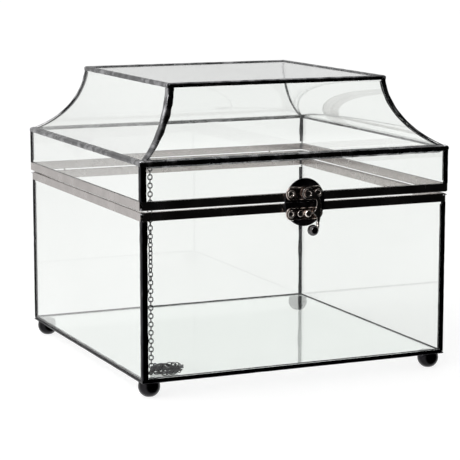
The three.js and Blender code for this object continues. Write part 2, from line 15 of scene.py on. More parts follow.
import bpy
from mathutils import Matrix, Vector, noise
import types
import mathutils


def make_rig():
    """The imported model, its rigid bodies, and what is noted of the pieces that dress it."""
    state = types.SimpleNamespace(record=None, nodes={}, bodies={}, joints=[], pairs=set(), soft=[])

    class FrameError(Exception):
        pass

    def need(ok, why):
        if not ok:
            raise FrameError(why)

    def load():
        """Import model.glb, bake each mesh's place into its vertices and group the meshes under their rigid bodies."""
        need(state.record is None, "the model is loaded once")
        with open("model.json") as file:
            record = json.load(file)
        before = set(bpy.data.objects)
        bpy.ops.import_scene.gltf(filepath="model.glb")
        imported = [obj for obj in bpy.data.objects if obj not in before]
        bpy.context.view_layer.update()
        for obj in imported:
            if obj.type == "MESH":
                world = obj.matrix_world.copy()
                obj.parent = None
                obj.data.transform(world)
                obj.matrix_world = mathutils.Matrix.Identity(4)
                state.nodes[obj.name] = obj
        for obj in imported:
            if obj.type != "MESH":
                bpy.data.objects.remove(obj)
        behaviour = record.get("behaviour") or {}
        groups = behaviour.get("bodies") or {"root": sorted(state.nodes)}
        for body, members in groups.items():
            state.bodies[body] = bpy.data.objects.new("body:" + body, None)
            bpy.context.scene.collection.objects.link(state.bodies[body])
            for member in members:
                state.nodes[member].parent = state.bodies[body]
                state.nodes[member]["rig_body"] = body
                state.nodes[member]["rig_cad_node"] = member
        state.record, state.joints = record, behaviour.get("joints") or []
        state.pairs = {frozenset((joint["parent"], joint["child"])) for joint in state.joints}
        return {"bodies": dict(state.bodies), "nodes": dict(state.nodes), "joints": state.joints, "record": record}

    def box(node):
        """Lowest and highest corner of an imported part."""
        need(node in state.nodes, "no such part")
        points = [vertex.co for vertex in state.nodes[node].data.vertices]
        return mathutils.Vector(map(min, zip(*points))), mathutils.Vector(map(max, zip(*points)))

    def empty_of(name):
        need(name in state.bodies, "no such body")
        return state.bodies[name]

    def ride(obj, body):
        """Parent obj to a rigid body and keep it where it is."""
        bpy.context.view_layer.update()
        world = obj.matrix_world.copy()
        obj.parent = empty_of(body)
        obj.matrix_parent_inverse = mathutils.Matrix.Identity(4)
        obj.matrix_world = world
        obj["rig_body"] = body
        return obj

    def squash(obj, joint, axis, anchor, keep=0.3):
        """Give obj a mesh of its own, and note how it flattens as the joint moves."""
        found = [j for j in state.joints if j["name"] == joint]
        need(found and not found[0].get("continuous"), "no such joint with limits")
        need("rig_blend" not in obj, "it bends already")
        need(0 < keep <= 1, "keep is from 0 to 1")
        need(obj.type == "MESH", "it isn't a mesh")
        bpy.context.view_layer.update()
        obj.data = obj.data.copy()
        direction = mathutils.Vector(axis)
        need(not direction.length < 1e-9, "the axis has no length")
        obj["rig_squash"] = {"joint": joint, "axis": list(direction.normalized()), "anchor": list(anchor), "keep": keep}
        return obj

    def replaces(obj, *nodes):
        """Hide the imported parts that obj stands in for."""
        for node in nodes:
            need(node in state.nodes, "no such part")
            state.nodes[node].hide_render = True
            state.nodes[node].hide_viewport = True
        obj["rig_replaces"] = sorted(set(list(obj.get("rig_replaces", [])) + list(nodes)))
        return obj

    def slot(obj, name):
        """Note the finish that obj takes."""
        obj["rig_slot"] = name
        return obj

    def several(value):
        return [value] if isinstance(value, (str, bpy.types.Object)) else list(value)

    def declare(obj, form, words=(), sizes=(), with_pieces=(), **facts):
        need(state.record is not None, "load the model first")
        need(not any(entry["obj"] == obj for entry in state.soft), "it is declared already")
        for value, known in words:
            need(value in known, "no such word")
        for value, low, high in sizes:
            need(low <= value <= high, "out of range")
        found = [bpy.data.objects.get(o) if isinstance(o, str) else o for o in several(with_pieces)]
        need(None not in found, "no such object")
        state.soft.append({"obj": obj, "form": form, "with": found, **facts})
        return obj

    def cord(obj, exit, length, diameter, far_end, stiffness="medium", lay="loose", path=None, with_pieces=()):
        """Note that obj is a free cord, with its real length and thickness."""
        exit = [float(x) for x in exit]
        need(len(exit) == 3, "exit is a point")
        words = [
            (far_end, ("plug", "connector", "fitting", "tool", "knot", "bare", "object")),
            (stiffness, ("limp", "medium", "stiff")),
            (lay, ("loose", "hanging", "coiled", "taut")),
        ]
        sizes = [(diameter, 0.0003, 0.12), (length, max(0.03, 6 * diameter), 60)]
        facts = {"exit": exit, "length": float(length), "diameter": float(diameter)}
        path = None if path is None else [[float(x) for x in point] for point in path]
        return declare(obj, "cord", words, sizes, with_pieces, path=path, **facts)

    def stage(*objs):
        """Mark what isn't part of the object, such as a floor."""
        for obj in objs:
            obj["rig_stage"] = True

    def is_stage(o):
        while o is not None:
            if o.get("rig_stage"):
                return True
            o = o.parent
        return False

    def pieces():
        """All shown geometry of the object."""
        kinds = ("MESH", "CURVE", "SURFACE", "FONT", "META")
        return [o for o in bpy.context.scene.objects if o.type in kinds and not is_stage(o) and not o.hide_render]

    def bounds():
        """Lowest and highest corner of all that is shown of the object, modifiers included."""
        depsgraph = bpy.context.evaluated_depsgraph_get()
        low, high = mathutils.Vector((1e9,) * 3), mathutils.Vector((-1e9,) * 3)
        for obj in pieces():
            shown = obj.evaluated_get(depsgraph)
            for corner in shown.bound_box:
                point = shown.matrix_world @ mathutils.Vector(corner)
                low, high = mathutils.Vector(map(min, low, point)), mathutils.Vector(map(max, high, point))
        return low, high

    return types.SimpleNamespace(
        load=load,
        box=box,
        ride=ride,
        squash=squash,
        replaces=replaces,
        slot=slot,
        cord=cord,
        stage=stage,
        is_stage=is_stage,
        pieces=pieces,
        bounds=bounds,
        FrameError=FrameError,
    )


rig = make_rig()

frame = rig.load()
cad_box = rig.bounds()
print("bodies:", sorted(frame["bodies"]))

# %% [markdown]
# Joinery is easier to think about in millimetres, and Blender works in metres. So every size
# below is in millimetres and is scaled once, where a mesh is made. `box` gives a node's corners,
# and the main planes of the box are read off a few nodes.

# %% The main planes of the box
MM = 0.001


def box(node):
    low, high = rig.box(node)
    return [c / MM for c in low], [c / MM for c in high]


ledge_low, ledge_high = box("lid_ledge_frame")
sole_low, sole_high = box("base_bottom_frame")
top_low, top_high = box("lid_top_frame")
MIDDLE_Y = (ledge_low[1] + ledge_high[1]) / 2
LID_HALF = (ledge_high[0] - ledge_low[0]) / 2
BASE_HALF = (sole_high[0] - sole_low[0]) / 2
SIDES = {"front": 0, "right": 1, "back": 2, "left": 3}  # quarter turns about the upright axis
CORNERS = {"front_left": 0, "front_right": 1, "back_right": 2, "back_left": 3}
print(f"lid half {LID_HALF:.2f}, base half {BASE_HALF:.2f}, middle y {MIDDLE_Y:.2f}")

# %% [markdown]
# The lid's panels bend inward along an arc. The same arc is needed for the bent glass and for the
# solder on the sloping corners, so it gets one helper: it gives how far the panel's surface is
# from the upright axis at some height, measured this far under the outer skin.

# %% The lid's curve
PANEL_RADIUS = 60
TOP_INSET = 34.4  # how far the top frame stands inside the lid's sides
LEDGE_DROP = 50.9  # from the top down to the ledge
TOP_Z = top_high[2]
TOP_HALF = LID_HALF - TOP_INSET
LEDGE_Z = TOP_Z - LEDGE_DROP
GLASS_OUT = 1.1  # the glass's outer face, this far under the outer skin
GLASS_IN = 3.1  # and its inner face
OFF_GLASS = 0.05  # solder stands this far off the glass, so that the two never share a face


def panel_centre():
    top = Vector((TOP_HALF, TOP_Z))
    ledge = Vector((LID_HALF, LEDGE_Z))
    chord = ledge - top
    outward = Vector((-chord.y, chord.x)).normalized()
    back = math.sqrt(PANEL_RADIUS**2 - chord.length_squared / 4)
    return top + chord / 2 + outward * back


CENTRE = panel_centre()


def panel_arc(inset, top_z, steps):
    """Points (reach, z) down a lid panel, from top_z to where it meets the upright band."""
    radius = PANEL_RADIUS + inset
    start = math.asin((CENTRE.y - top_z) / radius)
    end = math.acos((CENTRE.x - LID_HALF + inset) / radius)
    angles = [start + (end - start) * i / steps for i in range(steps + 1)]
    return [(CENTRE.x - radius * math.cos(a), CENTRE.y - radius * math.sin(a)) for a in angles]


print("the panel's arc meets the band at z", round(panel_arc(0, TOP_Z, 8)[-1][1], 2))

# %% [markdown]
# ## Camera
#
# The camera comes first, because the chain's upper links are turned to face it. It stands in
# front, to the left and a little above, far enough back for the long lens to flatten the
# perspective.

# %% Camera
CAMERA_PLACE = (-0.5806, -1.30765, 0.3268)
CAMERA_TURN = 23.84  # degrees to the right
CAMERA_DIP = 9.23  # degrees down
CAMERA_LENS = 148.5


def make_camera():
    data = bpy.data.cameras.new("camera")
    data.lens = CAMERA_LENS
    data.sensor_width = 36
    data.clip_start = 0.05
    camera = bpy.data.objects.new("camera", data)
    bpy.context.collection.objects.link(camera)
    camera.location = CAMERA_PLACE
    tilt = math.radians(90 - CAMERA_DIP)
    camera.rotation_euler = (tilt, 0, -math.radians(CAMERA_TURN))
    bpy.context.scene.camera = camera
    return camera


camera = make_camera()
print("camera at", tuple(camera.location))

# %% [markdown]
# ## Making meshes
#
# Nearly every piece is one of a few kinds: a section swept along a side, a section swept down a
# corner, a turned piece, or a wire. Each kind gets a helper that returns points and faces, and
# one more helper turns those into an object that rides on a body and stands for its nodes.

# %% From points and faces to a piece
SHARP = math.radians(38)


def shade(mesh, sharp=SHARP):
    mesh.polygons.foreach_set("use_smooth", [True] * len(mesh.polygons))
    mesh.set_sharp_from_angle(angle=sharp)


def mesh_piece(name, parts, sharp=SHARP):
    """parts is a list of (points in millimetres, faces); they become one object."""
    points = []
    faces = []
    for part_points, part_faces in parts:
        offset = len(points)
        points += [Vector(p) * MM for p in part_points]
        faces += [[i + offset for i in face] for face in part_faces]
    mesh = bpy.data.meshes.new(name)
    mesh.from_pydata(points, [], faces)
    mesh.update()
    shade(mesh, sharp)
    piece = bpy.data.objects.new(name, mesh)
    bpy.context.collection.objects.link(piece)
    return piece


def keep_flats(piece):
    """Stops a soft edge from shading the broad flat face beside it."""
    weighted = piece.modifiers.new("flat faces", "WEIGHTED_NORMAL")
    weighted.keep_sharp = True
    return piece


def settle(piece, body, slot, material, *nodes):
    """The piece takes its finish, rides on its body and stands for these nodes."""
    piece.data.materials.clear()
    piece.data.materials.append(material)
    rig.ride(piece, body)
    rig.slot(piece, slot)
    if nodes:
        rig.replaces(piece, *nodes)
    return piece


def moved(part, matrix):
    points, faces = part
    return [matrix @ Vector(p) for p in points], faces


def tube_faces(rings, around, closed=False):
    """Quads between rings of points, with an end cap on each end of an open tube."""
    faces = []
    for i in range(rings if closed else rings - 1):
        for j in range(around):
            a = i * around + j
            b = i * around + (j + 1) % around
            c = (i + 1) % rings * around + (j + 1) % around
            d = (i + 1) % rings * around + j
            faces.append([a, b, c, d])
    if not closed:
        faces.append(list(reversed(range(around))))
        faces.append([(rings - 1) * around + j for j in range(around)])
    return faces

# %% [markdown]
# A real solder seam is never quite straight: it was run by hand and froze in soft lumps. Sliding
# every ring of a swept section a little in and out, by smooth noise, gives that. The noise is the
# same on each run, because it depends only on the place.

# %% Sections swept along the sides
QUARTER = math.pi / 2
LUMP_SIZE = 9.0  # millimetres from one lump in a seam to the next, more or less


def lump(place, size, amount):
    """A smooth number between about -amount and amount that depends on the place only."""
    return amount * noise.noise(Vector(place) / size)


def side_matrix(side):
    return Matrix.Translation((0, MIDDLE_Y, 0)) @ Matrix.Rotation(QUARTER * SIDES[side], 4, "Z")


def side_bar(section, side, steps, gap, lumps=0.0, lump_size=LUMP_SIZE):
    """A closed section of (reach, z) points, run along one side and mitred at both corners."""
    points = []
    for i in range(steps + 1):
        share = 2 * i / steps - 1
        for reach, z in section:
            x = share * (reach - gap)
            push = lump((x + 300 * SIDES[side], reach, z), lump_size, lumps)
            points.append((x, -(reach + push), z + push * 0.5))
    return moved((points, tube_faces(steps + 1, len(section))), side_matrix(side))


def frame_loop(sections, steps, lumps):
    """One section for each side, with as many points each, run right round as a closed ring."""
    points = []
    for side, section in sections.items():
        turn = side_matrix(side)
        for i in range(steps):
            share = 2 * i / steps - 1
            for reach, z in section:
                x = share * reach
                push = lump((x + 300 * SIDES[side], reach * 0.2, z * 0.2), LUMP_SIZE, lumps)
                push = push if abs(share) < 1 else 0
                points.append(turn @ Vector((x, -(reach - abs(push)), z + push * 0.6)))
    return points, tube_faces(4 * steps, len(section), closed=True)

# %% [markdown]
# A corner seam wraps both panes. Its section at any height is a rounded L: it starts at nothing on
# one pane, swells over the edge, and thins out on the other pane. One Bezier curve whose middle
# handle sits outside the corner gives that swell.

# %% Sections run down the corners
BEAD_STEPS = 8


def bezier(a, b, c, t):
    return a * (1 - t) ** 2 + b * (2 * t * (1 - t)) + c * t**2


def corner_ring(reach, z, leg, swell, under):
    """One section of the bead outside a corner: the outer curve, then back under it."""
    edge = reach - under + 0.25
    outer_a = Vector((-(reach - leg), -edge, z))
    outer_b = Vector((-(reach + swell), -(reach + swell), z))
    outer_c = Vector((-edge, -(reach - leg), z))
    ring = [bezier(outer_a, outer_b, outer_c, i / BEAD_STEPS) for i in range(BEAD_STEPS + 1)]
    seat = reach - under
    ring += [Vector((-seat, -(reach - leg), z)), Vector((-seat, -seat, z))]
    ring += [Vector((-(reach - leg), -seat, z))]
    return ring


def fillet_ring(reach, z, leg):
    """One section of the bead inside a corner, filling it between the two panes."""
    corner = Vector((-reach, -reach, z))
    a = Vector((-(reach - leg), -reach, z))
    b = Vector((-(reach - leg * 0.28), -(reach - leg * 0.28), z))
    c = Vector((-reach, -(reach - leg), z))
    return [bezier(a, b, c, i / BEAD_STEPS) for i in range(BEAD_STEPS + 1)] + [corner]


def run_rings(rings, corner):
    points = [p for ring in rings for p in ring]
    turn = Matrix.Translation((0, MIDDLE_Y, 0)) @ Matrix.Rotation(QUARTER * CORNERS[corner], 4, "Z")
    return moved((points, tube_faces(len(rings), len(rings[0]))), turn)

# %% [markdown]
# ## Finishes
#
# All the metal is lit by a bright room behind and to the left and a dark one in front, so a plain
# grey mirror already shows black fronts and pale tops. What sets the finishes apart is how much
# they reflect and how rough they are: black-patinated solder is a dark, lumpy mirror, worn silvery
# on the hips and the upper frames. The channels are paler and smooth, and the clasp is brown in its
# hollows and bright on its rubbed edges.
#
# Each finish is a Principled shader whose colour, roughness and bump come from noise. Metallic,
# index and the like are the same all over, so they are set on the shader itself.

# %% A finish made of noise
def new_finish(name):
    material = bpy.data.materials.new(name)
    material.use_nodes = True
    tree = material.node_tree
    shader = tree.nodes["Principled BSDF"]
    where = tree.nodes.new("ShaderNodeTexCoord")
    return material, tree, shader, where


def noise_of(tree, where, scale, detail):
    texture = tree.nodes.new("ShaderNodeTexNoise")
    texture.inputs["Scale"].default_value = scale
    texture.inputs["Detail"].default_value = detail
    tree.links.new(where.outputs["Object"], texture.inputs["Vector"])
    return texture.outputs["Fac"]


def ramp(tree, value, stops):
    node = tree.nodes.new("ShaderNodeValToRGB")
    elements = node.color_ramp.elements
    while len(elements) < len(stops):
        elements.new(0.5)
    for element, (place, colour) in zip(elements, stops):
        element.position = place
        element.color = (*colour, 1)
    tree.links.new(value, node.inputs["Fac"])
    return node.outputs["Color"]


def spread(tree, value, low, high):
    """The middle of the noise's range, stretched from low to high."""
    node = tree.nodes.new("ShaderNodeMapRange")
    node.inputs["From Min"].default_value = 0.3
    node.inputs["From Max"].default_value = 0.7
    node.inputs["To Min"].default_value = low
    node.inputs["To Max"].default_value = high
    tree.links.new(value, node.inputs["Value"])
    return node.outputs["Result"]


def bump(tree, value, shader, depth):
    """depth is how deep the bumps look, in millimetres."""
    node = tree.nodes.new("ShaderNodeBump")
    node.inputs["Strength"].default_value = 1.0
    node.inputs["Distance"].default_value = depth * MM
    tree.links.new(value, node.inputs["Height"])
    tree.links.new(node.outputs["Normal"], shader.inputs["Normal"])


def metal_finish(name, stops, rough, grain, depth):
    """stops are (share, colour); grain is the noise scale per metre, for colour and for bump."""
    material, tree, shader, where = new_finish(name)
    shader.inputs["Metallic"].default_value = 1.0
    tone = noise_of(tree, where, grain[0], 4.0)
    tree.links.new(ramp(tree, tone, stops), shader.inputs["Base Color"])
    tree.links.new(spread(tree, tone, *rough), shader.inputs["Roughness"])
    bump(tree, noise_of(tree, where, grain[1], 2.0), shader, depth)
    return material


solder = metal_finish(
    "black_solder",
    [(0.3, (0.012, 0.012, 0.014)), (0.6, (0.03, 0.03, 0.033)), (0.8, (0.09, 0.088, 0.092))],
    rough=(0.12, 0.26), grain=(90, 140), depth=0.22,
)
bright_solder = metal_finish(
    "bright_solder",
    [(0.3, (0.2, 0.2, 0.21)), (0.6, (0.65, 0.65, 0.67))],
    rough=(0.1, 0.22), grain=(300, 260), depth=0.2,
)
channel_metal = metal_finish(
    "channel_metal",
    [(0.25, (0.41, 0.38, 0.365)), (0.75, (0.53, 0.5, 0.485))],
    rough=(0.2, 0.3), grain=(60, 500), depth=0.02,
)
worn_solder = metal_finish(
    "worn_solder",
    [(0.32, (0.05, 0.05, 0.053)), (0.5, (0.14, 0.14, 0.145)), (0.66, (0.36, 0.36, 0.37))],
    rough=(0.18, 0.34), grain=(120, 170), depth=0.22,
)
latch_metal = metal_finish(
    "antique_latch",
    [(0.3, (0.08, 0.055, 0.05)), (0.5, (0.35, 0.26, 0.23)), (0.7, (0.8, 0.66, 0.58))],
    rough=(0.18, 0.36), grain=(230, 330), depth=0.3,
)
rubbed_metal = metal_finish(
    "rubbed_edges",
    [(0.3, (0.5, 0.43, 0.4)), (0.65, (0.95, 0.88, 0.82))],
    rough=(0.12, 0.24), grain=(200, 300), depth=0.1,
)
hook_metal = metal_finish(
    "polished_hook",
    [(0.3, (0.5, 0.46, 0.44)), (0.7, (0.9, 0.84, 0.8))],
    rough=(0.1, 0.2), grain=(200, 300), depth=0.06,
)
ball_metal = metal_finish(
    "hook_ball_metal",
    [(0.3, (0.05, 0.05, 0.053)), (0.7, (0.12, 0.115, 0.115))],
    rough=(0.05, 0.1), grain=(200, 300), depth=0.02,
)
backing_metal = metal_finish(
    "blackened_backing",
    [(0.3, (0.02, 0.02, 0.022)), (0.7, (0.07, 0.065, 0.075))],
    rough=(0.3, 0.5), grain=(160, 700), depth=0.1,
)
foot_metal = metal_finish(
    "blackened_ball",
    [(0.3, (0.008, 0.008, 0.009)), (0.7, (0.025, 0.024, 0.026))],
    rough=(0.12, 0.25), grain=(120, 90), depth=0.3,
)
chain_metal = metal_finish(
    "chain_wire",
    [(0.3, (0.012, 0.012, 0.014)), (0.7, (0.05, 0.05, 0.055))],
    rough=(0.15, 0.3), grain=(400, 900), depth=0.03,
)
hinge_metal = metal_finish(
    "hinge_metal",
    [(0.3, (0.12, 0.1, 0.085)), (0.7, (0.36, 0.31, 0.27))],
    rough=(0.2, 0.36), grain=(150, 500), depth=0.04,
)
print("metals:", len(bpy.data.materials))

# %% [markdown]
# Window glass is clear, faintly green, and slightly wavy. With full transmission the shader bends
# and reflects light by itself. A very shallow bump gives the waviness.

# %% Clear glass
def glass_finish(name, tint_low, tint_high, wave):
    material, tree, shader, where = new_finish(name)
    shader.inputs["Transmission Weight"].default_value = 1.0
    shader.inputs["IOR"].default_value = 1.5
    tone = noise_of(tree, where, 6, 2.0)
    tree.links.new(ramp(tree, tone, [(0.3, tint_low), (0.7, tint_high)]), shader.inputs["Base Color"])
    shader.inputs["Roughness"].default_value = 0.0
    bump(tree, noise_of(tree, where, 9, 1.0), shader, wave)
    return material


clear_glass = glass_finish("clear_glass", (0.925, 0.937, 0.926), (0.95, 0.96, 0.95), 0.02)
floor_glass = glass_finish("floor_glass_tint", (0.91, 0.95, 0.925), (0.93, 0.965, 0.943), 0.02)
print("finishes with the two glasses:", len(bpy.data.materials))

# %% [markdown]
# ## The lid chain
#
# A fine oval-link chain hangs inside the near corner and keeps the lid from falling back. It is
# soldered to a ring under the ledge and to another on the floor, and its slack lies in a small heap.
# The hanging strand is built link by link: each link turns a quarter from the last, and the whole
# strand twists slowly as a real chain does.
#
# As the lid opens, the chain draws out of its heap. One rigid strand can't grow, so three equal
# strands hang inside each other. They slide apart as the lid rises, and the heap is squashed
# towards the foot of the strand.

# %% The route of the chain
upper_low, upper_high = box("chain_upper")
heap_low, heap_high = box("chain_pile")
CHAIN_X = (upper_low[0] + upper_high[0]) / 2
CHAIN_Y = (upper_low[1] + upper_high[1]) / 2
CHAIN_THICK = 0.003  # metres: halfway between a link's width and its wire's
PITCH = 2.95  # from the middle of one link to the next
LINK_WIDTH = 2.85  # between the middles of the wire
LINK_LENGTH = 3.65
WIRES = {"chain_strand_upper": 0.41, "chain_strand_middle": 0.37, "chain_strand_lower": 0.33}
STRAND_LINKS = 49
STRAND_TOP = upper_high[2] + 0.9
STRAND_LENGTH = STRAND_LINKS * PITCH
strand_route = [(CHAIN_X, CHAIN_Y, STRAND_TOP - i * PITCH) for i in range(STRAND_LINKS + 1)]
print(f"the hanging strand is {STRAND_LENGTH:.0f} mm long")

# %% One oval link
LINK_AROUND = 18
WIRE_AROUND = 6


def oval_link(wire):
    """A link in the plane of x and z, with its middle at the origin."""
    radius = LINK_WIDTH / 2
    straight = (LINK_LENGTH - LINK_WIDTH) / 2
    points = []
    for i in range(LINK_AROUND):
        angle = 2 * math.pi * (i + 0.5) / LINK_AROUND
        out = Vector((math.cos(angle), 0, math.sin(angle)))
        middle = out * radius + Vector((0, 0, straight if math.sin(angle) > 0 else -straight))
        for j in range(WIRE_AROUND):
            turn = 2 * math.pi * j / WIRE_AROUND
            points.append(middle + out * (wire * math.cos(turn)) + Vector((0, wire * math.sin(turn), 0)))
    return points, tube_faces(LINK_AROUND, WIRE_AROUND, closed=True)

# %% [markdown]
# The strand's twist is set by height: the links face the viewer near the top, then turn by a
# quarter through the middle of the strand.

# %% The three strands
TWIST_FROM = 128.0  # height where the twist starts
TWIST_TO = 72.0  # and where it has turned a quarter


def twist(z):
    share = min(1, max(0, (TWIST_FROM - z) / (TWIST_FROM - TWIST_TO)))
    return -math.radians(CAMERA_TURN) + QUARTER * share


def strand(name, wire):
    link = oval_link(wire)
    links = []
    for i in range(STRAND_LINKS):
        z = STRAND_TOP - (i + 0.5) * PITCH
        turn = Matrix.Rotation(twist(z) + QUARTER * (i % 2), 4, "Z")
        links.append(moved(link, Matrix.Translation((CHAIN_X, CHAIN_Y, z)) @ turn))
    return mesh_piece(name, links)


strand_bodies = ["chain_top", "chain_middle", "chain_bottom"]
strand_nodes = ["chain_upper", "chain_mid", "chain_low"]
strands = []
for (name, wire), body, node in zip(WIRES.items(), strand_bodies, strand_nodes):
    piece = strand(name, wire)
    strands.append(settle(piece, body, "chain_metal", chain_metal, node))
metres = [tuple(c * MM for c in p) for p in strand_route]
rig.cord(
    strands[0], exit=metres[0], length=STRAND_LENGTH * MM, diameter=CHAIN_THICK, far_end="object",
    stiffness="limp", lay="hanging", path=metres, with_pieces=strands[1:],
)
print("strands:", len(strands), "of", STRAND_LINKS, "links each")

# %% [markdown]
# The heap is the rest of the same chain. Its route goes round in easy loops no tighter than the
# chain can bend, each loop a little off the last, and climbs from the glass to a second layer.

# %% The heap of slack chain
HEAP_TURNS = 5.35
HEAP_STRAY = 0.4  # the middle of the loops goes round by this much of a turn with each loop
HEAP_START = math.pi * 1.15
HEAP_LOOP = (8.9, 7.9)  # a loop's half width and half depth
HEAP_DRIFT = (2.1, 1.8)  # how far the loops' middle moves off
HEAP_SHIFT = (-1.6, 0.2)  # from the middle of the node's box
HEAP_FOOT = 1.2  # the first link's height in the node's box
HEAP_RISE = 3.6  # from the first link to the last
HEAP_STEPS = 220
HEAP_WIRE = 0.34
HEAP_MIDDLE = [(a + b) / 2 for a, b in zip(heap_low, heap_high)]


def heap_place(share):
    angle = HEAP_START + 2 * math.pi * HEAP_TURNS * share
    stray = HEAP_STRAY * angle
    x = HEAP_MIDDLE[0] + HEAP_SHIFT[0] + HEAP_DRIFT[0] * math.cos(stray)
    y = HEAP_MIDDLE[1] + HEAP_SHIFT[1] + HEAP_DRIFT[1] * math.sin(stray)
    x += HEAP_LOOP[0] * math.cos(angle)
    y += HEAP_LOOP[1] * math.sin(angle)
    z = heap_low[2] + HEAP_FOOT + HEAP_RISE * share + 0.25 * math.sin(angle * 1.7)
    return Vector((x, y, z))


heap_line = [heap_place(i / HEAP_STEPS) for i in range(HEAP_STEPS + 1)]


def along(line, distance):
    """The place and direction at this distance along a line of points."""
    for a, b in zip(line, line[1:]):
        step = (b - a).length
        if distance <= step:
            return a.lerp(b, distance / step), (b - a).normalized()
        distance -= step
    return line[-1], (line[-1] - line[-2]).normalized()


def heap_links(line, count):
    link = oval_link(HEAP_WIRE)
    links = []
    for i in range(count):
        place, way = along(line, (i + 0.5) * PITCH)
        side = way.cross(Vector((0, 0, 1))).normalized()
        rise = side.cross(way)
        roll = Matrix((side, rise, way)).transposed().to_4x4()
        lean = Matrix.Rotation(QUARTER * (i % 2) + 0.7 + 0.6 * math.sin(i * 2.3), 4, "Z")
        links.append(moved(link, Matrix.Translation(place) @ roll @ lean))
    return links


def line_length(line):
    return sum((b - a).length for a, b in zip(line, line[1:]))


heap_length = line_length(heap_line)
heap_count = int(heap_length / PITCH)
heap = mesh_piece("chain_heap", heap_links(heap_line, heap_count))
settle(heap, "base", "chain_metal", chain_metal, "chain_pile")
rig.squash(heap, "lid_hinge", axis=(1, 0, 0), anchor=(CHAIN_X * MM, CHAIN_Y * MM, 0), keep=0.1)
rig.cord(
    heap, exit=tuple(heap_line[0] * MM), length=heap_length * MM, diameter=CHAIN_THICK,
    far_end="object", stiffness="limp", lay="loose", path=[tuple(p * MM) for p in heap_line],
)
print(f"the heap holds {heap_count} links, {heap_length:.0f} mm of chain")

# %% [markdown]
# ## Solder seams on the corners
#
# Copper foil is wrapped over each pane's edge and solder is run over it, outside and inside. So a
# corner has a rounded bead outside and a small fillet inside, and both are seen through the glass.
# Here one closed section is run up each corner. The seams were run by hand, so each corner has its
# own width, and the legs swell and thin with noise. Where a seam passes a channel it goes right
# through to the channel's inner face, as the joint is filled there.

# %% Upright seams
SEAM_WIDTHS = {"front_left": 5.0, "front_right": 2.6, "back_right": 2.8, "back_left": 1.4}
FILLET_WIDTHS = {"front_left": 1.6, "front_right": 0.8, "back_right": 2.2, "back_left": 0.5}
SEAM_SWELL = 0.42  # against the leg
SEAM_UNDER = GLASS_OUT - OFF_GLASS
CHANNEL_DEPTH = 4.2
CORNER_FILL = 1.2  # how far the corner's solder takes the place of the channel
SEAM_STEP = 1.6  # millimetres between sections


def heights(low, high):
    count = max(2, round((high - low) / SEAM_STEP))
    return [low + (high - low) * i / count for i in range(count + 1)]


def upright_seam(name, corner, reach, low, high, channel):
    """channel is the range of heights where the bead goes through a channel."""
    width = SEAM_WIDTHS[corner]
    rings = []
    for z in heights(low, high):
        wander = lump((CORNERS[corner] * 90, 0, z), 9, 1.0)
        in_channel = channel[0] <= z <= channel[1]
        under = CHANNEL_DEPTH if in_channel else SEAM_UNDER
        leg = max(width, CORNER_FILL + 1.2 if in_channel else 0) * (1 + 0.16 * wander)
        swell = min(1.5, SEAM_SWELL * leg) - 0.3 * abs(wander)
        rings.append(corner_ring(reach, z, leg, swell, under))
    inside = [z for z in heights(low, high) if not channel[0] - 1 <= z <= channel[1] + 1]
    fillet = []
    for z in inside:
        leg = FILLET_WIDTHS[corner] * (1 + lump((CORNERS[corner] * 70, 5, z), 8, 0.25))
        fillet.append(fillet_ring(reach - GLASS_IN - OFF_GLASS, z, leg))
    return mesh_piece(name, [run_rings(rings, corner), run_rings(fillet, corner)])


base_rim_low, base_rim_high = box("base_rim_front")
lid_rim_low, lid_rim_high = box("lid_rim_front")
RIM_TOP = base_rim_high[2]
RIM_FOOT = lid_rim_low[2]
for corner in CORNERS:
    foot = box(f"base_seam_{corner}")[0][2]
    channel = (base_rim_low[2], RIM_TOP)
    span = (foot - 0.9, RIM_TOP - 0.1)
    seam = upright_seam(f"base_bead_{corner}", corner, BASE_HALF, *span, channel)
    settle(seam, "base", "solder_seam", solder, f"base_seam_{corner}")
    head = box(f"lid_band_seam_{corner}")[1][2]
    channel = (RIM_FOOT, lid_rim_high[2])
    span = (RIM_FOOT + 0.1, head + 1.2)
    seam = upright_seam(f"band_bead_{corner}", corner, LID_HALF, *span, channel)
    settle(seam, "lid", "solder_seam", solder, f"lid_band_seam_{corner}")
print("upright seams done")

# %% [markdown]
# The seams over the lid's hips follow the panels' arc. They are broad a third of the way down and
# narrow at the foot, like a leaf, with a swollen middle that catches the light.

# %% Hip seams
HIP_STEPS = 34
HIP_WIDTHS = {"front_left": 6.0, "front_right": 3.0, "back_right": 2.6, "back_left": 2.0}
hip_low, hip_high = box("lid_hip_seam_front_left")


def leaf(share, width):
    """How wide the hip bead is, from its top (0) to its foot (1)."""
    return width * (0.9 + 0.15 * math.sin(math.pi * share**0.75) - 0.35 * share)


def hip_seam(name, corner):
    outer = panel_arc(0, hip_high[2] + 0.8, HIP_STEPS)
    inner = panel_arc(GLASS_IN + OFF_GLASS, hip_high[2] - 0.6, HIP_STEPS)
    rings = []
    fillet = []
    for i, (reach, z) in enumerate(outer):
        share = i / HIP_STEPS
        wander = lump((CORNERS[corner] * 50, 9, z), 5, 1.0)
        leg = leaf(share, HIP_WIDTHS[corner]) * (1 + 0.15 * wander)
        rings.append(corner_ring(reach, z, leg, 0.34 * leg + 0.4 * wander, SEAM_UNDER))
        reach, z = inner[i]
        fillet.append(fillet_ring(reach, z, leg * 0.45))
    return mesh_piece(name, [run_rings(rings, corner), run_rings(fillet, corner)])


for corner in CORNERS:
    seam = hip_seam(f"hip_bead_{corner}", corner)
    settle(seam, "lid", "solder_seam", worn_solder, f"lid_hip_seam_{corner}")
print("hip seams from z", round(hip_low[2], 1), "to", round(hip_high[2], 1))

# %% [markdown]
# ## The level frames
#
# Three level seams go right round: under the floor, at the ledge, and round the top pane. Each is
# one closed section carried round four sides, so that its corners are joined without a gap.

# %% Level frames
LOOP_STEPS = 60


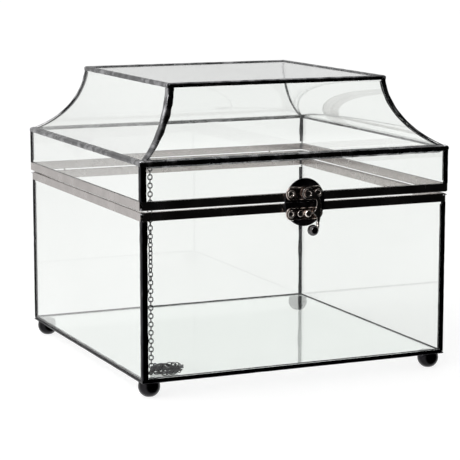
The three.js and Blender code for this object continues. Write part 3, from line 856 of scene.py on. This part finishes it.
def reach_at(z, inset):
    """How far the lid panel's surface, this far under the skin, is from the axis at height z."""
    radius = PANEL_RADIUS + inset
    return CENTRE.x - math.sqrt(radius**2 - (CENTRE.y - z) ** 2)


def ledge_section(drop, rise):
    """drop and rise are how far the bead reaches below and above the ledge."""
    r = LID_HALF
    low = LEDGE_Z - drop
    crease = panel_arc(SEAM_UNDER, TOP_Z, 4)[-1][1]
    high = LEDGE_Z + rise
    outer = [(r - SEAM_UNDER, low), (r - 0.45, low + 0.1), (r - 0.1, low + 0.25 * drop)]
    outer += [(r, low + 0.6 * drop), (r - 0.02, LEDGE_Z - 0.3), (r - 0.45, LEDGE_Z + 0.5)]
    for share in (0.45, 0.75):
        z = LEDGE_Z + 0.5 + share * (rise - 0.5)
        outer.append((reach_at(z, -0.1), z))
    outer += [(reach_at(high, 0.7), high), (reach_at(high - 0.3, SEAM_UNDER), high - 0.3)]
    return outer + [(r - SEAM_UNDER, crease)]


def ledge_fillet(size):
    r = LID_HALF - GLASS_IN - OFF_GLASS
    crease = panel_arc(GLASS_IN + OFF_GLASS, TOP_Z, 4)[-1][1]
    tip = (reach_at(crease + 0.4 * size, GLASS_IN + OFF_GLASS), crease + 0.4 * size)
    return [(r, crease - size), (r, crease), tip, (r - 0.62 * size, crease - 0.38 * size)]


def top_section():
    r = TOP_HALF
    low = top_low[2]
    side = reach_at(low, 0)
    points = [(side - SEAM_UNDER, low), (side - 0.3, low + 0.1), (r + 0.15, low + 1.2)]
    points += [(r + 0.1, low + 2.6), (r - 0.35, TOP_Z - 0.5), (r - 1.2, TOP_Z - 0.15)]
    seat = TOP_Z - GLASS_OUT + OFF_GLASS
    points += [(r - 2.2, TOP_Z - 0.25), (r - 3.2, TOP_Z - 0.8), (r - 3.2, seat)]
    return points + [(r - 1.05, seat)]


def sole_section(rise, leg):
    """rise is the bead's height on the wall, and leg its reach under the floor."""
    r = BASE_HALF
    low = sole_low[2]
    high = low + rise
    seat = low + GLASS_OUT - OFF_GLASS
    outer = [(r - SEAM_UNDER, high), (r - 0.4, high - 0.1), (r - 0.05, high - 0.3 * rise)]
    outer += [(r, low + 0.8), (r - 0.35, low + 0.3), (r - 1.1, low), (r - 0.8 * leg, low + 0.05)]
    return outer + [(r - leg, low + 0.5), (r - leg, seat), (r - SEAM_UNDER, seat)]


def sole_fillet(size):
    r = BASE_HALF - GLASS_IN - OFF_GLASS
    z = box("floor_glass")[1][2] + OFF_GLASS
    return [(r, z), (r, z + size), (r - 0.4 * size, z + 0.4 * size), (r - size, z)]


def level_frame(name, body, rings, node, lumps, material):
    loops = [frame_loop(sections, LOOP_STEPS, lumps) for sections in rings]
    return settle(mesh_piece(name, loops), body, "solder_seam", material, node)


BROAD = ("front",)  # the front seams were run broad, the others finer
ledge_rings = {side: ledge_section(3.0, 1.5) if side in BROAD else ledge_section(2.4, 1.3)
               for side in SIDES}
ledge_fillets = {side: ledge_fillet(2.2 if side in BROAD else 0.9) for side in SIDES}
level_frame("ledge_bead", "lid", [ledge_rings, ledge_fillets], "lid_ledge_frame", 0.25, worn_solder)
top_rings = {side: top_section() for side in SIDES}
level_frame("top_bead", "lid", [top_rings], "lid_top_frame", 0.25, worn_solder)
sole_rings = {side: sole_section(2.6, 2.6) if side in BROAD else sole_section(1.7, 2.0)
              for side in SIDES}
sole_fillets = {side: sole_fillet(0.6) for side in SIDES}
level_frame("sole_bead", "base", [sole_rings, sole_fillets], "base_bottom_frame", 0.2, solder)
print("level frames done")

# %% [markdown]
# ## Channels round the opening
#
# The edges that open are not soldered: a folded metal channel grips each pane. It is one folded
# section with soft edges, cut at each corner, where solder fills the joint.

# %% Channels
WALL = 0.8


def channel_section(reach, web_z, open_z):
    up = 1 if open_z > web_z else -1
    r = reach
    d = CHANNEL_DEPTH
    points = [(r - WALL, open_z), (r - 0.15, open_z), (r, open_z - up * 0.2)]
    points += [(r, web_z + up * 0.8), (r - 0.12, web_z + up * 0.35), (r - 0.4, web_z + up * 0.1)]
    points += [(r - 0.8, web_z), (r - d + 0.8, web_z), (r - d + 0.4, web_z + up * 0.1)]
    points += [(r - d + 0.12, web_z + up * 0.35), (r - d, web_z + up * 0.8)]
    points += [(r - d, open_z - up * 0.2), (r - d + 0.15, open_z), (r - d + WALL, open_z)]
    return points + [(r - d + WALL, web_z + up * WALL), (r - WALL, web_z + up * WALL)]


for side in SIDES:
    section = channel_section(BASE_HALF, RIM_TOP, base_rim_low[2])
    bar = mesh_piece(f"base_channel_{side}", [side_bar(section, side, 24, CORNER_FILL, 0.03, 30)])
    settle(keep_flats(bar), "base", "rim_channel", channel_metal, f"base_rim_{side}")
    section = channel_section(LID_HALF, RIM_FOOT, lid_rim_high[2])
    bar = mesh_piece(f"lid_channel_{side}", [side_bar(section, side, 24, CORNER_FILL, 0.03, 30)])
    settle(keep_flats(bar), "lid", "rim_channel", channel_metal, f"lid_rim_{side}")
print("channels: 8")

# %% [markdown]
# Where seams meet, the solder was left in drops. They are small lumpy balls, brighter than the
# rest because they were touched up last.

# %% Solder drops
DROP_RINGS = 9
DROP_AROUND = 14


def drop(place, size, seed):
    """size is the three half widths; seed sets how the lump bulges."""
    points = []
    for i in range(1, DROP_RINGS):
        level = math.pi * i / DROP_RINGS
        for j in range(DROP_AROUND):
            turn = 2 * math.pi * j / DROP_AROUND
            way = Vector((math.sin(level) * math.cos(turn), math.sin(level) * math.sin(turn),
                          math.cos(level)))
            swell = 1 + 0.35 * noise.noise(way * 1.4 + Vector((seed * 7.3, seed, 0)))
            points.append(Vector([p + w * s * swell for p, w, s in zip(place, way, size)]))
    return points, tube_faces(DROP_RINGS - 1, DROP_AROUND)


def corner_drops(name, body, spots):
    """spots are (reach, height, size) at every corner."""
    drops = []
    for turns in CORNERS.values():
        spin = Matrix.Translation((0, MIDDLE_Y, 0)) @ Matrix.Rotation(QUARTER * turns, 4, "Z")
        for k, (reach, z, size) in enumerate(spots):
            drops.append(moved(drop((-reach, -reach, z), size, turns * 5 + k), spin))
    return settle(mesh_piece(name, drops, math.pi), body, "solder_seam", bright_solder)


corner_drops("lid_drops", "lid", [
    (LID_HALF - 2.3, LEDGE_Z + 0.35, (2.1, 2.1, 1.0)),
    (LID_HALF - 1.85, RIM_FOOT + 1.0, (1.6, 1.6, 0.8)),
    (TOP_HALF - 1.3, TOP_Z - 1.6, (1.6, 1.6, 1.2)),
])
corner_drops("base_drops", "base", [
    (BASE_HALF - 1.2, RIM_TOP - 1.0, (1.9, 1.9, 0.85)),
])
print("solder drops done")

# %% [markdown]
# ## Ball feet
#
# Each foot is a ball, cut flat where it stands and soldered on above. It is a turned shape, so its
# profile is lathed: half a ball's outline, a softened edge at the flat, and a collar of solder.

# %% Turned pieces
TURN_STEPS = 40
FOOT_FLAT = 3.0  # radius of the flat that a foot stands on


def turned(profile, place, toward="up"):
    """profile is (radius, distance along the axis); the axis points up or to the front."""
    points = []
    for radius, out in profile:
        for j in range(TURN_STEPS):
            angle = 2 * math.pi * j / TURN_STEPS
            a = radius * math.cos(angle)
            b = radius * math.sin(angle)
            if toward == "up":
                points.append(Vector(place) + Vector((a, b, out)))
            else:
                points.append(Vector(place) + Vector((a, -out, b)))
    return points, tube_faces(len(profile), TURN_STEPS)


def foot_profile(radius, flat, top):
    middle = math.sqrt(radius**2 - flat**2)
    start = math.asin(-middle / radius) + 0.06
    end = math.asin((top - middle) / radius) - 0.06
    profile = [(0.02, 0), (flat - 0.5, 0), (flat, 0.06)]
    for i in range(13):
        angle = start + (end - start) * i / 12
        profile.append((radius * math.cos(angle), middle + radius * math.sin(angle)))
    collar = radius * math.cos(end)
    return profile + [(collar + 0.25, top - 0.25), (collar - 0.3, top + 0.15), (0.02, top + 0.15)]


for corner in CORNERS:
    low, high = box(f"foot_{corner}")
    place = ((low[0] + high[0]) / 2, (low[1] + high[1]) / 2, 0)
    profile = foot_profile((high[0] - low[0]) / 2, FOOT_FLAT, high[2])
    foot = mesh_piece(f"ball_foot_{corner}", [turned(profile, place)])
    settle(foot, "base", "ball_foot", foot_metal, f"foot_{corner}")
print("feet: 4")

# %% [markdown]
# ## Glass
#
# The flat panes come straight from the engineering model and only get the glass finish. The four
# bent panes are made again with a finer curve, because reflections show every facet: one section,
# outer arc down and inner arc up, run along each side and mitred at the hips.

# %% Panes
PANE_STEPS = 44


def bent_pane_section():
    low, high = box("lid_curved_glass_front")
    top = high[2]
    foot = low[2]
    outer = panel_arc(GLASS_OUT, top, PANE_STEPS)
    inner = panel_arc(GLASS_IN, top, PANE_STEPS)
    return outer + [(outer[-1][0], foot), (inner[-1][0], foot)] + inner[::-1]


pane_section = bent_pane_section()
for side in SIDES:
    pane = mesh_piece(f"bent_pane_{side}", [side_bar(pane_section, side, 1, 0.15)])
    settle(pane, "lid", "clear_glass", clear_glass, f"lid_curved_glass_{side}")


def refinish(node, material):
    slots = frame["nodes"][node].material_slots
    for slot in slots:
        slot.material = material


for side in SIDES:
    refinish(f"base_glass_{side}", clear_glass)
    refinish(f"lid_band_glass_{side}", clear_glass)
refinish("lid_top_glass", clear_glass)
refinish("floor_glass", floor_glass)
print("panes done")

# %% [markdown]
# ## Wires
#
# The hinge wire, the hook's tail and the little rings that hold the chain are all round wire. A
# wire is a circle swept along a line of points whose corners are rounded first.

# %% Round wire
BEND_STEPS = 6


def rounded(points, bend):
    """The line with each corner replaced by a short curve that starts this far before it."""
    line = [Vector(points[0])]
    for a, b, c in zip(points, points[1:], points[2:]):
        a, b, c = Vector(a), Vector(b), Vector(c)
        reach = min(bend, (b - a).length * 0.45, (c - b).length * 0.45)
        start = b + (a - b).normalized() * reach
        end = b + (c - b).normalized() * reach
        line += [bezier(start, b, end, i / BEND_STEPS) for i in range(BEND_STEPS + 1)]
    return line + [Vector(points[-1])]


def wire(line, radii, around=14):
    """radii is one radius for each point of the line."""
    side = None
    points = []
    for i, p in enumerate(line):
        way = (line[min(i + 1, len(line) - 1)] - line[max(i - 1, 0)]).normalized()
        if side is None:
            side = way.orthogonal().normalized()
        side = (side - way * side.dot(way)).normalized()
        other = way.cross(side)
        for j in range(around):
            turn = 2 * math.pi * j / around
            points.append(p + (side * math.cos(turn) + other * math.sin(turn)) * radii[i])
    return points, tube_faces(len(line), around)


def ring_wire(middle, radius, thick, way):
    """A closed ring round the given direction."""
    way = Vector(way).normalized()
    side = way.orthogonal().normalized()
    other = way.cross(side)
    points = []
    for i in range(32):
        angle = 2 * math.pi * i / 32
        out = side * math.cos(angle) + other * math.sin(angle)
        for j in range(10):
            turn = 2 * math.pi * j / 10
            spot = out * (radius + thick * math.cos(turn)) + way * (thick * math.sin(turn))
            points.append(Vector(middle) + spot)
    return points, tube_faces(32, 10, closed=True)

# %% [markdown]
# The hinge is a long tube soldered to the lid's back channel. A wire runs through it, and its two
# bent ends are soldered to the base.

# %% Hinge
tube_low, tube_high = box("hinge_tube")
wire_low, wire_high = box("hinge_wire")
HINGE_Y = (tube_low[1] + tube_high[1]) / 2
HINGE_Z = (tube_low[2] + tube_high[2]) / 2
TUBE_RADIUS = (tube_high[2] - tube_low[2]) / 2
HINGE_WIRE = 0.65  # the wire's radius
BORE = 0.9  # and the tube's inner one
OFF_BASE = 0.3  # the wire's ends lie this far off the base


def hinge_tube_part():
    """The tube's wall, turned about the x axis, with softened ends."""
    half = tube_high[0]
    outer = TUBE_RADIUS
    profile = [(BORE, -half), (outer - 0.15, -half), (outer, -half + 0.2)]
    profile += [(outer, half - 0.2), (outer - 0.15, half), (BORE, half)]
    points = []
    for radius, x in profile:
        for j in range(TURN_STEPS):
            angle = 2 * math.pi * j / TURN_STEPS
            points.append((x, HINGE_Y + radius * math.cos(angle), HINGE_Z + radius * math.sin(angle)))
    faces = tube_faces(len(profile), TURN_STEPS)[:-2]
    last = (len(profile) - 1) * TURN_STEPS
    for j in range(TURN_STEPS):
        k = (j + 1) % TURN_STEPS
        faces.append([j, last + j, last + k, k])
    return points, faces


def hinge_wire_part():
    x = wire_high[0] - HINGE_WIRE
    low = wire_low[2] + HINGE_WIRE
    back = BASE_HALF + MIDDLE_Y + OFF_BASE + HINGE_WIRE
    corners = [(-x, back, low), (-x, HINGE_Y, low), (-x, HINGE_Y, HINGE_Z), (x, HINGE_Y, HINGE_Z)]
    corners += [(x, HINGE_Y, low), (x, back, low)]
    line = rounded(corners, 1.4)
    return wire(line, [HINGE_WIRE] * len(line))


settle(mesh_piece("hinge_barrel", [hinge_tube_part()]), "lid", "hinge_metal", hinge_metal, "hinge_tube")
settle(mesh_piece("hinge_rod", [hinge_wire_part()]), "base", "hinge_metal", hinge_metal, "hinge_wire")
tacks = [drop((x, HINGE_Y - 1.3, HINGE_Z + 1.2), (4.0, 0.9, 0.8), 3 + i)
         for i, x in enumerate((-76, -38, 0, 38, 76))]
settle(mesh_piece("hinge_tacks", tacks, math.pi), "lid", "solder_seam", bright_solder)
x = wire_high[0] - HINGE_WIRE
tacks = [drop((s * x, BASE_HALF + MIDDLE_Y + 0.4, wire_low[2] + 0.6), (1.9, 0.8, 1.5), 20 + s)
         for s in (-1, 1)]
settle(mesh_piece("hinge_rod_tacks", tacks, math.pi), "base", "solder_seam", bright_solder)
print("hinge axis at y", round(HINGE_Y, 1), "z", round(HINGE_Z, 1))

# %% [markdown]
# The chain's two rings stand on short wires that come out of the solder in the corner.

# %% Chain rings
RING_RADIUS = 2.0  # to the middle of its wire
RING_WIRE = 0.6
RING_REACH = 2.6  # from the ring's middle to its outside


def chain_ring(name, node, body, reach, rise):
    """reach is where the wire's root is, and rise how much higher it is than the ring's middle."""
    low, high = box(node)
    ring_z = high[2] - RING_REACH if rise >= 0 else low[2] + RING_REACH
    middle = Vector((CHAIN_X, CHAIN_Y, ring_z))
    inward = Vector((-1, -1, 0)).normalized()
    root = Vector((-reach, MIDDLE_Y - reach, ring_z + rise))
    knee = middle + inward * 3.2 + Vector((0, 0, rise * 0.4))
    line = rounded([root, knee, middle + inward * RING_RADIUS], 1)
    radii = [1.25 - 0.45 * min(1, i / (len(line) - 2)) for i in range(len(line))]
    across = Vector((1, -1, 0))
    parts = [ring_wire(middle, RING_RADIUS, RING_WIRE, across), wire(line, radii)]
    parts.append(drop(tuple(root), (1.8, 1.8, 2.0), 40 + reach))
    return settle(mesh_piece(name, parts), body, "solder_seam", solder, node)


chain_ring("lid_chain_ring", "chain_anchor_lid", "lid", LID_HALF - GLASS_IN - 1.0, -0.8)
chain_ring("base_chain_ring", "chain_anchor_base", "base", BASE_HALF - GLASS_IN - 1.0, 0.4)
print("chain rings: 2")

# %% [markdown]
# ## Clasp
#
# The clasp is built up in layers. Two blackened half-discs are soldered on, one on the lid and one
# on the base. On each sits a small antique plate with raised, rubbed edges, held by eyelets and a
# slotted screw. The hook turns on a headed pivot and catches on a round stud.
#
# Plates are cut from an outline, thickened, and given rounded edges by a bevel, because it is the
# rounded edge that catches a line of light.

# %% Plates from an outline
def arc(middle, radii, start, end, steps=18):
    points = []
    for i in range(steps + 1):
        angle = math.radians(start + (end - start) * i / steps)
        points.append((middle[0] + radii[0] * math.cos(angle), middle[1] + radii[1] * math.sin(angle)))
    return points


def cut_plate(name, outline, back_y, thickness, edge, steps=3):
    """outline is (x, z) points; the plate stands out towards the front from back_y."""
    count = len(outline)
    points = [(x, back_y, z) for x, z in outline]
    points += [(x, back_y - thickness, z) for x, z in outline]
    faces = [list(range(count)), list(reversed(range(count, 2 * count)))]
    for i in range(count):
        j = (i + 1) % count
        faces.append([i, i + count, j + count, j])
    piece = mesh_piece(name, [(points, faces)])
    round_over = piece.modifiers.new("rounded edge", "BEVEL")
    round_over.width = edge * MM
    round_over.segments = steps
    round_over.limit_method = "ANGLE"
    round_over.angle_limit = math.radians(50)
    return keep_flats(piece)


def node_middle(node):
    low, high = box(node)
    return (low[0] + high[0]) / 2, (low[2] + high[2]) / 2


def half_disc(node, up):
    low, high = box(node)
    x = (low[0] + high[0]) / 2
    wide = (high[0] - low[0]) / 2
    tall = high[2] - low[2]
    if up:
        return arc((x, low[2]), (wide, tall), 0, 180, 40)
    return arc((x, high[2]), (wide, tall), 180, 360, 40)


def stadium(x, z, half_width, height):
    radius = height / 2
    right = arc((x + half_width - radius, z), (radius, radius), -90, 90)
    return right + arc((x - half_width + radius, z), (radius, radius), 90, 270)


LAP = 0.25  # the lower backing reaches up so far, so that no light shows between the two
for half, up, body in (("upper", True, "lid"), ("lower", False, "base")):
    node = f"latch_backing_{half}"
    low, high = box(node)
    outline = half_disc(node, up)
    if not up:
        outline += [(outline[-1][0], high[2] + LAP), (outline[0][0], high[2] + LAP)]
    back = cut_plate(f"backing_{half}", outline, high[1], high[1] - low[1], 0.3)
    settle(back, body, "solder_seam", backing_metal, node)
    node = f"latch_plate_{half}"
    low, high = box(node)
    x, z = node_middle(node)
    outline = stadium(x, z, (high[0] - low[0]) / 2, high[2] - low[2])
    plate = cut_plate(f"plate_{half}", outline, high[1], high[1] - low[1], 0.5)
    settle(plate, body, "latch_metal", latch_metal, node)
print("backings and plates done")

# %% [markdown]
# Each plate has a raised border, as a stamped plate does. It is a thin wire laid round just inside
# the plate's edge.

# %% Raised borders
BORDER = 0.5  # the border wire's radius
BORDER_INSET = 0.55  # how far its middle is from the plate's edge


def border(name, node, body):
    low, high = box(node)
    x, z = node_middle(node)
    half_width = (high[0] - low[0]) / 2 - BORDER_INSET
    outline = stadium(x, z, half_width, high[2] - low[2] - 2 * BORDER_INSET)
    line = [Vector((px, low[1] + 0.05, pz)) for px, pz in outline]
    points = wire(line, [BORDER] * len(line), 8)[0]
    piece = mesh_piece(name, [(points, tube_faces(len(line), 8, closed=True))])
    return settle(piece, body, "latch_metal", rubbed_metal)


border("plate_border_upper", "latch_plate_upper", "lid")
border("plate_border_lower", "latch_plate_lower", "base")
print("raised borders: 2")

# %% [markdown]
# The small fixings are turned: eyelets with a dark hollow, a slotted screw, a domed stud and the
# pivot's head with a ring round it.

# %% Eyelets, screw, stud and pivot
def fixing(name, node, body, profile, material):
    """profile starts at the node's back face and stands out towards the front."""
    x, z = node_middle(node)
    part = turned(profile, (x, box(node)[1][1], z), "front")
    return settle(mesh_piece(name, [part]), body, "latch_metal", material, node)


eyelet = [(0.02, 0), (2.8, 0), (2.8, 0.3), (2.65, 0.62), (2.3, 0.8), (1.85, 0.74), (1.55, 0.5)]
eyelet += [(1.4, 0.15), (0.02, 0.12)]
fixing("eyelet_upper_left", "latch_rivet_upper_left", "lid", eyelet, rubbed_metal)
fixing("eyelet_upper_right", "latch_rivet_upper_right", "lid", eyelet, rubbed_metal)
fixing("eyelet_lower", "latch_rivet_lower", "base", eyelet, rubbed_metal)
dome = [(0.02, 0), (2.8, 0), (2.8, 1.1), (2.7, 1.7), (2.4, 2.3), (1.8, 2.75), (1.0, 2.95)]
fixing("stud_dome", "latch_stud", "base", dome + [(0.02, 3.0)], rubbed_metal)
pivot_low, pivot_high = box("hook_pivot")
pivot_depth = pivot_high[1] - pivot_low[1]
hook_low, hook_high = box("latch_hook")
neck = pivot_high[1] - hook_high[1]
head = pivot_depth - 0.8
pivot = [(0.02, 0), (3.0, 0), (3.0, neck - 0.3), (1.3, neck - 0.3), (1.3, head), (2.85, head)]
pivot += [(3.0, head + 0.2), (2.9, head + 0.6), (2.5, head + 0.8), (2.0, head + 0.72)]
pivot += [(1.7, head + 0.4), (0.9, head + 0.45), (0.02, head + 0.6)]
fixing("pivot_head", "hook_pivot", "lid", pivot, rubbed_metal)


def slotted_screw():
    back = box("latch_screw_lower")[1][1]
    x, z = node_middle("latch_screw_lower")
    profile = [(0.02, 0), (2.3, 0), (2.3, 0.35), (2.1, 0.62), (1.5, 0.78), (0.02, 0.8)]
    head = mesh_piece("slotted_screw", [turned(profile, (x, back, z), "front")])
    slot = [(x - 3, z - 0.35), (x + 3, z - 0.35), (x + 3, z + 0.35), (x - 3, z + 0.35)]
    tilt = Matrix.Rotation(math.radians(-12), 2)
    middle = Vector((x, z))
    slot = [tuple(middle + tilt @ (Vector(p) - middle)) for p in slot]
    cutter = cut_plate("screw_slot", slot, back - 0.35, 1.5, 0.01, 1)
    cut = head.modifiers.new("slot", "BOOLEAN")
    cut.operation = "DIFFERENCE"
    cut.object = cutter
    bpy.context.view_layer.update()
    seen = head.evaluated_get(bpy.context.evaluated_depsgraph_get())
    mesh = bpy.data.meshes.new_from_object(seen)
    head.modifiers.clear()
    head.data = mesh
    bpy.data.objects.remove(cutter)
    shade(mesh)
    return settle(head, "base", "latch_metal", rubbed_metal, "latch_screw_lower")


slotted_screw()
print("fixings done")

# %% [markdown]
# The hook is one casting: an eye round the pivot, an arm that bows out and comes back to a tooth
# beside the stud, then a tail that ends in a ball. Its outline is drawn with curves about the
# pivot, and its edges are rounded so far that the arm is nearly a round bar.

# %% Hook
PIVOT = Vector(node_middle("hook_pivot"))
EYE = 4.3  # the eye's outer radius
HOOK_THICK = 1.4
TAIL_RADIUS = 1.2
CURVE_STEPS = 8
BALL = 4.0  # the ball's radius


def curve_points(start, handles):
    """A cubic Bezier from start; handles are its two handles and its end."""
    a, b, c, d = [Vector(p) for p in (start, *handles)]
    points = []
    for i in range(1, CURVE_STEPS + 1):
        t = i / CURVE_STEPS
        u = 1 - t
        points.append(a * u**3 + b * (3 * u * u * t) + c * (3 * u * t * t) + d * t**3)
    return [tuple(p) for p in points]


def hook_outline():
    eye_end = (EYE * math.cos(math.pi / 5), EYE * math.sin(math.pi / 5))
    points = arc((0, 0), (EYE, EYE), 36, 270, 24)
    points.append((4.6, -EYE))
    runs = [((6.4, -EYE), (7, -5.4), (6.9, -8)), ((6.8, -10.8), (5.6, -12.6), (3.5, -14.2))]
    runs += [((5, -15), (7, -16.4), (7.3, -19.4)), ((7.3, -20.4), (7.2, -21.2), (6.8, -22.2))]
    for run in runs:
        points += curve_points(points[-1], run)
    points.append((8.8, -22.2))
    for run in (((10, -18), (10.6, -13), (10.4, -9)), ((10.2, -4), (7.6, -0.6), eye_end)):
        points += curve_points(points[-1], run)
    return [tuple(PIVOT + Vector(p)) for p in points[:-1]]


hook = cut_plate("hook_arm", hook_outline(), hook_high[1], HOOK_THICK, 0.5, 4)
settle(hook, "hook", "latch_metal", hook_metal, "latch_hook")
ball_middle = Vector((PIVOT.x + 1.3, hook_low[1] + BALL, PIVOT.y - 25.5))


def ball_profile():
    profile = []
    for i in range(17):
        angle = math.pi * (i + 0.08) / 16.16 - math.pi / 2
        profile.append((BALL * math.cos(angle), BALL * math.sin(angle)))
    return profile


middle_y = hook_high[1] - HOOK_THICK / 2
start = Vector((PIVOT.x + 7.9, middle_y, PIVOT.y - 20.6))
bend = Vector((PIVOT.x + 7.4, middle_y - 1.4, PIVOT.y - 25.2))
tail_line = rounded([start, bend, ball_middle], 2.0)
tail = wire(tail_line, [TAIL_RADIUS] * len(tail_line))
settle(mesh_piece("hook_tail", [tail]), "hook", "latch_metal", hook_metal)
ball = mesh_piece("hook_ball", [turned(ball_profile(), ball_middle)])
settle(ball, "hook", "latch_metal", ball_metal)
print("hook ball at", [round(c, 1) for c in ball_middle])

# %% [markdown]
# ## The set
#
# The floor is grey by itself, and its own soft light makes it read as white while the box still
# leaves a faint shadow on it. It is hidden from mirror reflections. The polished fronts of the metal
# then mirror only the dark part of the room, which is what makes them look black.

# %% Floor
FLOOR_NEAR = -0.45
FLOOR_FAR = 5.0
FLOOR_WIDE = 4.0  # to each side
FLOOR_GREYS = [(0.3, (0.26, 0.26, 0.26)), (0.7, (0.28, 0.28, 0.28))]
FLOOR_GLOW = 0.83


def make_floor():
    material, tree, shader, where = new_finish("pale_floor")
    tone = noise_of(tree, where, 3, 2.0)
    tree.links.new(ramp(tree, tone, FLOOR_GREYS), shader.inputs["Base Color"])
    shader.inputs["Roughness"].default_value = 0.9
    shader.inputs["Specular IOR Level"].default_value = 0.0
    shader.inputs["Emission Color"].default_value = (1, 1, 1, 1)
    shader.inputs["Emission Strength"].default_value = FLOOR_GLOW
    w = FLOOR_WIDE
    mesh = bpy.data.meshes.new("floor")
    corners = [(-w, FLOOR_NEAR, 0), (w, FLOOR_NEAR, 0), (w, FLOOR_FAR, 0), (-w, FLOOR_FAR, 0)]
    mesh.from_pydata(corners, [], [[0, 1, 2, 3]])
    floor = bpy.data.objects.new("floor", mesh)
    bpy.context.collection.objects.link(floor)
    mesh.materials.append(material)
    floor.visible_glossy = False
    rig.stage(floor)
    return floor


make_floor()
print("the floor glows at", FLOOR_GLOW)

# %% [markdown]
# The room is a world shader. Its brightness depends on the direction in the room: pale everywhere
# except a soft dark area in front and to the right, and a grey one low behind the box, which the
# top pane and the ledge mirror. What is seen directly, or straight through glass, is plain white.

# %% Room
DARK_WAY = Vector((0.35, -0.93, 0.05)).normalized()
DARK = 0.004
GREY_WAY = Vector((0.4, 0.9, 0.16)).normalized()
GREY = 0.62
BRIGHT = 1.25
SEEN = 1.05  # what is seen directly or through glass


def soft_patch(tree, where, way, edge, middle, value):
    """BRIGHT everywhere, easing to this value round one direction."""
    dot = tree.nodes.new("ShaderNodeVectorMath")
    dot.operation = "DOT_PRODUCT"
    dot.inputs[1].default_value = way
    tree.links.new(where.outputs["Generated"], dot.inputs[0])
    fade = tree.nodes.new("ShaderNodeMapRange")
    fade.interpolation_type = "SMOOTHSTEP"
    fade.inputs["From Min"].default_value = edge
    fade.inputs["From Max"].default_value = middle
    fade.inputs["To Min"].default_value = BRIGHT
    fade.inputs["To Max"].default_value = value
    tree.links.new(dot.outputs["Value"], fade.inputs["Value"])
    return fade.outputs["Result"]


def make_room():
    world = bpy.data.worlds.new("room")
    world.use_nodes = True
    bpy.context.scene.world = world
    tree = world.node_tree
    nodes = tree.nodes
    background = nodes["Background"]
    where = nodes.new("ShaderNodeTexCoord")
    darker = nodes.new("ShaderNodeMath")
    darker.operation = "MINIMUM"
    tree.links.new(soft_patch(tree, where, DARK_WAY, 0.05, 0.5, DARK), darker.inputs[0])
    tree.links.new(soft_patch(tree, where, GREY_WAY, 0.35, 0.9, GREY), darker.inputs[1])
    path = nodes.new("ShaderNodeLightPath")
    seen = nodes.new("ShaderNodeMath")
    seen.operation = "MAXIMUM"
    tree.links.new(path.outputs["Is Camera Ray"], seen.inputs[0])
    tree.links.new(path.outputs["Is Transmission Ray"], seen.inputs[1])
    mix = nodes.new("ShaderNodeMix")
    mix.inputs["B"].default_value = SEEN
    tree.links.new(seen.outputs[0], mix.inputs["Factor"])
    tree.links.new(darker.outputs[0], mix.inputs["A"])
    tree.links.new(mix.outputs["Result"], background.inputs["Strength"])
    background.inputs["Color"].default_value = (1, 1, 1, 1)


make_room()
print("the room goes from", DARK, "to", BRIGHT)

# %% [markdown]
# One large soft lamp high on the left gives the metal its long pale highlights, and a small one in
# front puts a spark on the clasp's rounded heads.

# %% Lamps
LAMP_AIM = Vector((0, 0, 0.1))  # about the middle of the box, in metres
KEY_PLACE = (-1.6, 0.4, 1.8)
FRONT_PLACE = (-1.0, -1.3, 1.2)


def soft_lamp(name, place, size, power):
    data = bpy.data.lights.new(name, "AREA")
    data.size = size
    data.energy = power
    lamp = bpy.data.objects.new(name, data)
    bpy.context.collection.objects.link(lamp)
    lamp.location = place
    aim = LAMP_AIM - Vector(place)
    lamp.rotation_euler = aim.to_track_quat("-Z", "Y").to_euler()
    return lamp


soft_lamp("key_lamp", KEY_PLACE, size=1.2, power=7)
soft_lamp("front_lamp", FRONT_PLACE, size=0.3, power=7)
print("lamps:", len(bpy.data.lights))

# %% [markdown]
# Light has to pass many panes of glass, one behind the other, so it is allowed more bounces than
# usual. With too few, the far panes could turn black.

# %% Light paths
scene = bpy.context.scene
scene.view_settings.view_transform = "Standard"
scene.cycles.max_bounces = 24
scene.cycles.transmission_bounces = 20
scene.cycles.glossy_bounces = 8
print("bounces:", scene.cycles.max_bounces)

# %% [markdown]
# ## Sizes
#
# The looks must not change the object's size, so both boxes are written down.

# %% Write the sizes and finish
visual_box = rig.bounds()
with open("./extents.json", "w") as out:
    json.dump({
        "cad_box": [list(corner) for corner in cad_box],
        "visual_box": [list(corner) for corner in visual_box],
    }, out)
print("visual box", [[round(c / MM, 1) for c in corner] for corner in visual_box])
